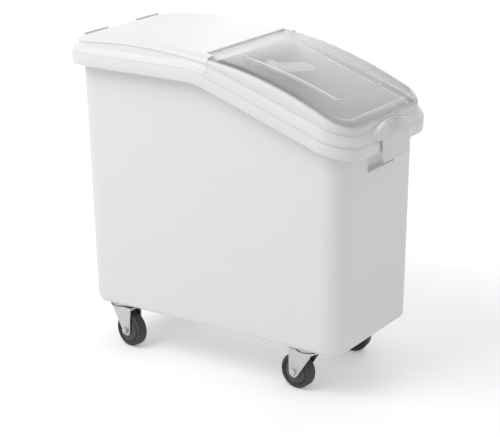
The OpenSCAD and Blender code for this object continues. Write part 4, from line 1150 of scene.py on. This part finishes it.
class FLOURBIN_OT_tyres(bpy.types.Operator):
    """Turns the four ribbed tyres"""
    bl_idname = "flour_bin.tyres"
    bl_label = "Tyres"

    def execute(self, context):
        s = context.scene.flour_bin_sizes
        rubber = finishes(context)["tyre_rubber"]
        tree = tyre_tree()
        seat = s.hub_diameter / 2 + FIT
        outer = s.wheel_diameter / 2
        height = outer - seat
        for joint in joints_named("_wheel_roll"):
            node = joint["name"].replace("_wheel_roll", "_tyre")
            axis = joint["axis"]
            tyre = grown(node + "_ribbed", tree, bpy.data.meshes.new(node), {
                "Middle radius": (seat + outer) / 2, "Height": height, "Width": s.tyre_width,
                "Shoulder": s.tyre_shoulder, "Rib count": RIB_COUNT, "First rib": seat + RIB_FIRST * height,
                "Rib step": RIB_STEP * height, "Rib radius": s.tyre_rib, "Axle": joint["pos_m"],
                "Turn": (math.pi / 2, 0, math.atan2(-axis[0], axis[1])), "Material": rubber}, 50)
            settle(tyre, node, joint["child"], rubber)
        return {"FINISHED"}


class FLOURBIN_OT_hardware(bpy.types.Operator):
    """Finishes the clip, strips, pins, plates, forks, axles and hubs from their solids"""
    bl_idname = "flour_bin.hardware"
    bl_label = "Clip, strips and casters"

    def execute(self, context):
        paints = finishes(context)
        slots = {part["node"]: part["material_slot"] for part in frame["record"]["subparts"]}
        bodies = frame["record"]["behaviour"]["bodies"]
        body_of = {node: body for body, nodes in bodies.items() for node in nodes}
        made = ("tub", "rear_cover", "front_lid", "caster_bolts", "caster_washers", "caster_cap_nuts")
        for node in sorted(slots):
            if node not in made and not node.endswith(("_balls", "_tyre")):
                piece = dressed(node, EASED)
                # The clip's narrow sides get a painted highlight.
                if node == "scoop_clip":
                    painted_highlight_and_frost(piece, "FACE", clip_edges(piece))
                settle(piece, node, body_of[node], paints[slots[node]])
        return {"FINISHED"}


def seen_rays(tree, y):
    """Tells rays that show a surface, also in or through another piece, from those that only carry light."""
    path = add(tree, "ShaderNodeLightPath", (-600, y)).outputs
    seen = path["Is Camera Ray"]
    for x, kind in ((-400, "Is Glossy Ray"), (-200, "Is Transmission Ray")):
        seen = add(tree, "ShaderNodeMath", (x, y), {0: seen, 1: path[kind]}, operation="MAXIMUM").outputs[0]
    return seen


def studio_floor(stage):
    """A pale floor that keeps the bin's shadow and brightens to white away from it."""
    half = stage.floor_size / 2
    corners = [(-half, -half, 0), (half, -half, 0), (half, half, 0), (-half, half, 0)]
    floor = new_piece("studio_floor", corners, [(0, 1, 2, 3)])
    material, tree = new_material("studio_floor")
    matt = add(tree, "ShaderNodeBsdfDiffuse", (-200, 100), {"Color": tuple(stage.floor_tone) + (1,)})
    spot = add(tree, "ShaderNodeTexCoord", (-1000, -50)).outputs["Object"]
    away = add(tree, "ShaderNodeVectorMath", (-800, -50), {0: spot}, operation="LENGTH")
    level = add(tree, "ShaderNodeMapRange", (-600, -50), {
        "Value": away.outputs["Value"], "From Min": stage.glow_start, "From Max": stage.glow_end,
        "To Min": stage.floor_glow, "To Max": stage.far_glow})
    glow = add(tree, "ShaderNodeEmission", (-200, -50), {
        "Color": (1, 1, 1, 1), "Strength": level.outputs["Result"]})
    lit = add(tree, "ShaderNodeAddShader", (0, 0), {0: matt.outputs[0], 1: glow.outputs[0]})
    finish_material(tree, add(tree, "ShaderNodeMixShader", (300, 0), {
        0: seen_rays(tree, -200), 1: matt.outputs[0], 2: lit.outputs[0]}))
    floor.data.materials.append(material)


def studio_room(scene, level):
    """Even light from all round, which looks white."""
    scene.world = bpy.data.worlds.new("studio_room")
    scene.world.use_nodes = True
    tree = scene.world.node_tree
    tree.nodes.clear()
    room = add(tree, "ShaderNodeBackground", (-200, 0), {"Color": (1, 1, 1, 1), "Strength": level})
    white = add(tree, "ShaderNodeBackground", (-200, -150), {"Color": (1, 1, 1, 1), "Strength": 1.0})
    both = add(tree, "ShaderNodeMixShader", (100, 0), {
        0: seen_rays(tree, 200), 1: room.outputs[0], 2: white.outputs[0]})
    add(tree, "ShaderNodeOutputWorld", (300, 0), {"Surface": both.outputs[0]})


def soft_box(scene, name, place, aim, size, power):
    """A square soft box that faces a point."""
    lamp = bpy.data.lights.new(name, "AREA")
    lamp.energy = power
    lamp.size = size
    light = bpy.data.objects.new(name, lamp)
    light.location = place
    light.rotation_euler = (Vector(aim) - Vector(place)).to_track_quat("-Z", "Y").to_euler()
    scene.collection.objects.link(light)


def studio_camera(scene):
    """The camera, looking at the bin's middle from the near front corner."""
    turn, rise = math.radians(CAMERA_TURN), math.radians(CAMERA_RISE)
    ahead, across, height = CAMERA_AIM
    target = Vector((ahead + Form(scene.flour_bin_sizes).middle, across, height))
    back = Vector((math.sin(turn) * math.cos(rise), -math.cos(turn) * math.cos(rise), math.sin(rise)))
    camera = bpy.data.objects.new("camera", bpy.data.cameras.new("camera"))
    camera.data.sensor_width = SENSOR_WIDTH
    camera.data.lens = CAMERA_FOCUS / PICTURE_WIDTH * SENSOR_WIDTH
    camera.data.shift_x, camera.data.shift_y = (shift / PICTURE_WIDTH for shift in CAMERA_SHIFT)
    camera.location = target + back * CAMERA_REACH
    camera.rotation_euler = back.to_track_quat("Z", "Y").to_euler()
    scene.collection.objects.link(camera)
    scene.camera = camera


class FLOURBIN_OT_stage(bpy.types.Operator):
    """Sets up the pale floor, the soft studio light and the camera"""
    bl_idname = "flour_bin.stage"
    bl_label = "Studio"

    def execute(self, context):
        scene = context.scene
        stage = scene.flour_bin_stage
        studio_floor(stage)
        studio_room(scene, stage.world_level)
        soft_box(scene, "key_soft_box", (-1.0, -1.9, 3.0), (0, 0, 0.4), 2.2, stage.key_power)
        soft_box(scene, "far_soft_box", (-0.4, 2.4, 1.6), (0, 0, 0.6), 2.4, stage.far_power)
        studio_camera(scene)
        scene.view_settings.view_transform = "Standard"
        return {"FINISHED"}


class FLOURBIN_PT_panel(bpy.types.Panel):
    """Lists the steps that dress the bin"""
    bl_label = "Flour bin"
    bl_idname = "FLOURBIN_PT_panel"
    bl_space_type = "VIEW_3D"
    bl_region_type = "UI"
    bl_category = "Flour bin"

    def draw(self, context):
        for step in STEPS:
            self.layout.operator(step.bl_idname)
        for group in ("flour_bin_sizes", "flour_bin_finishes", "flour_bin_stage"):
            box = self.layout.box()
            for name in getattr(context.scene, group).__annotations__:
                box.prop(getattr(context.scene, group), name)


STEPS = (FLOURBIN_OT_stage, FLOURBIN_OT_tub, FLOURBIN_OT_rear_cover, FLOURBIN_OT_front_lid,
         FLOURBIN_OT_hardware, FLOURBIN_OT_fasteners, FLOURBIN_OT_tyres)
CLASSES = (FlourBinSizes, FlourBinFinishes, FlourBinStage) + STEPS + (FLOURBIN_PT_panel,)


def register():
    """Registers the classes and the scene's settings."""
    for kind in CLASSES:
        bpy.utils.register_class(kind)
    bpy.types.Scene.flour_bin_sizes = PointerProperty(type=FlourBinSizes)
    bpy.types.Scene.flour_bin_finishes = PointerProperty(type=FlourBinFinishes)
    bpy.types.Scene.flour_bin_stage = PointerProperty(type=FlourBinStage)


def unregister():
    """Removes the scene's settings and the classes."""
    del bpy.types.Scene.flour_bin_stage
    del bpy.types.Scene.flour_bin_finishes
    del bpy.types.Scene.flour_bin_sizes
    for kind in reversed(CLASSES):
        bpy.utils.unregister_class(kind)


def main():
    """Dresses the bin."""
    register()
    bpy.ops.flour_bin.stage()
    bpy.ops.flour_bin.tub()
    bpy.ops.flour_bin.rear_cover()
    bpy.ops.flour_bin.front_lid()
    bpy.ops.flour_bin.hardware()
    bpy.ops.flour_bin.fasteners()
    bpy.ops.flour_bin.tyres()


if __name__ == "__main__":
    main()
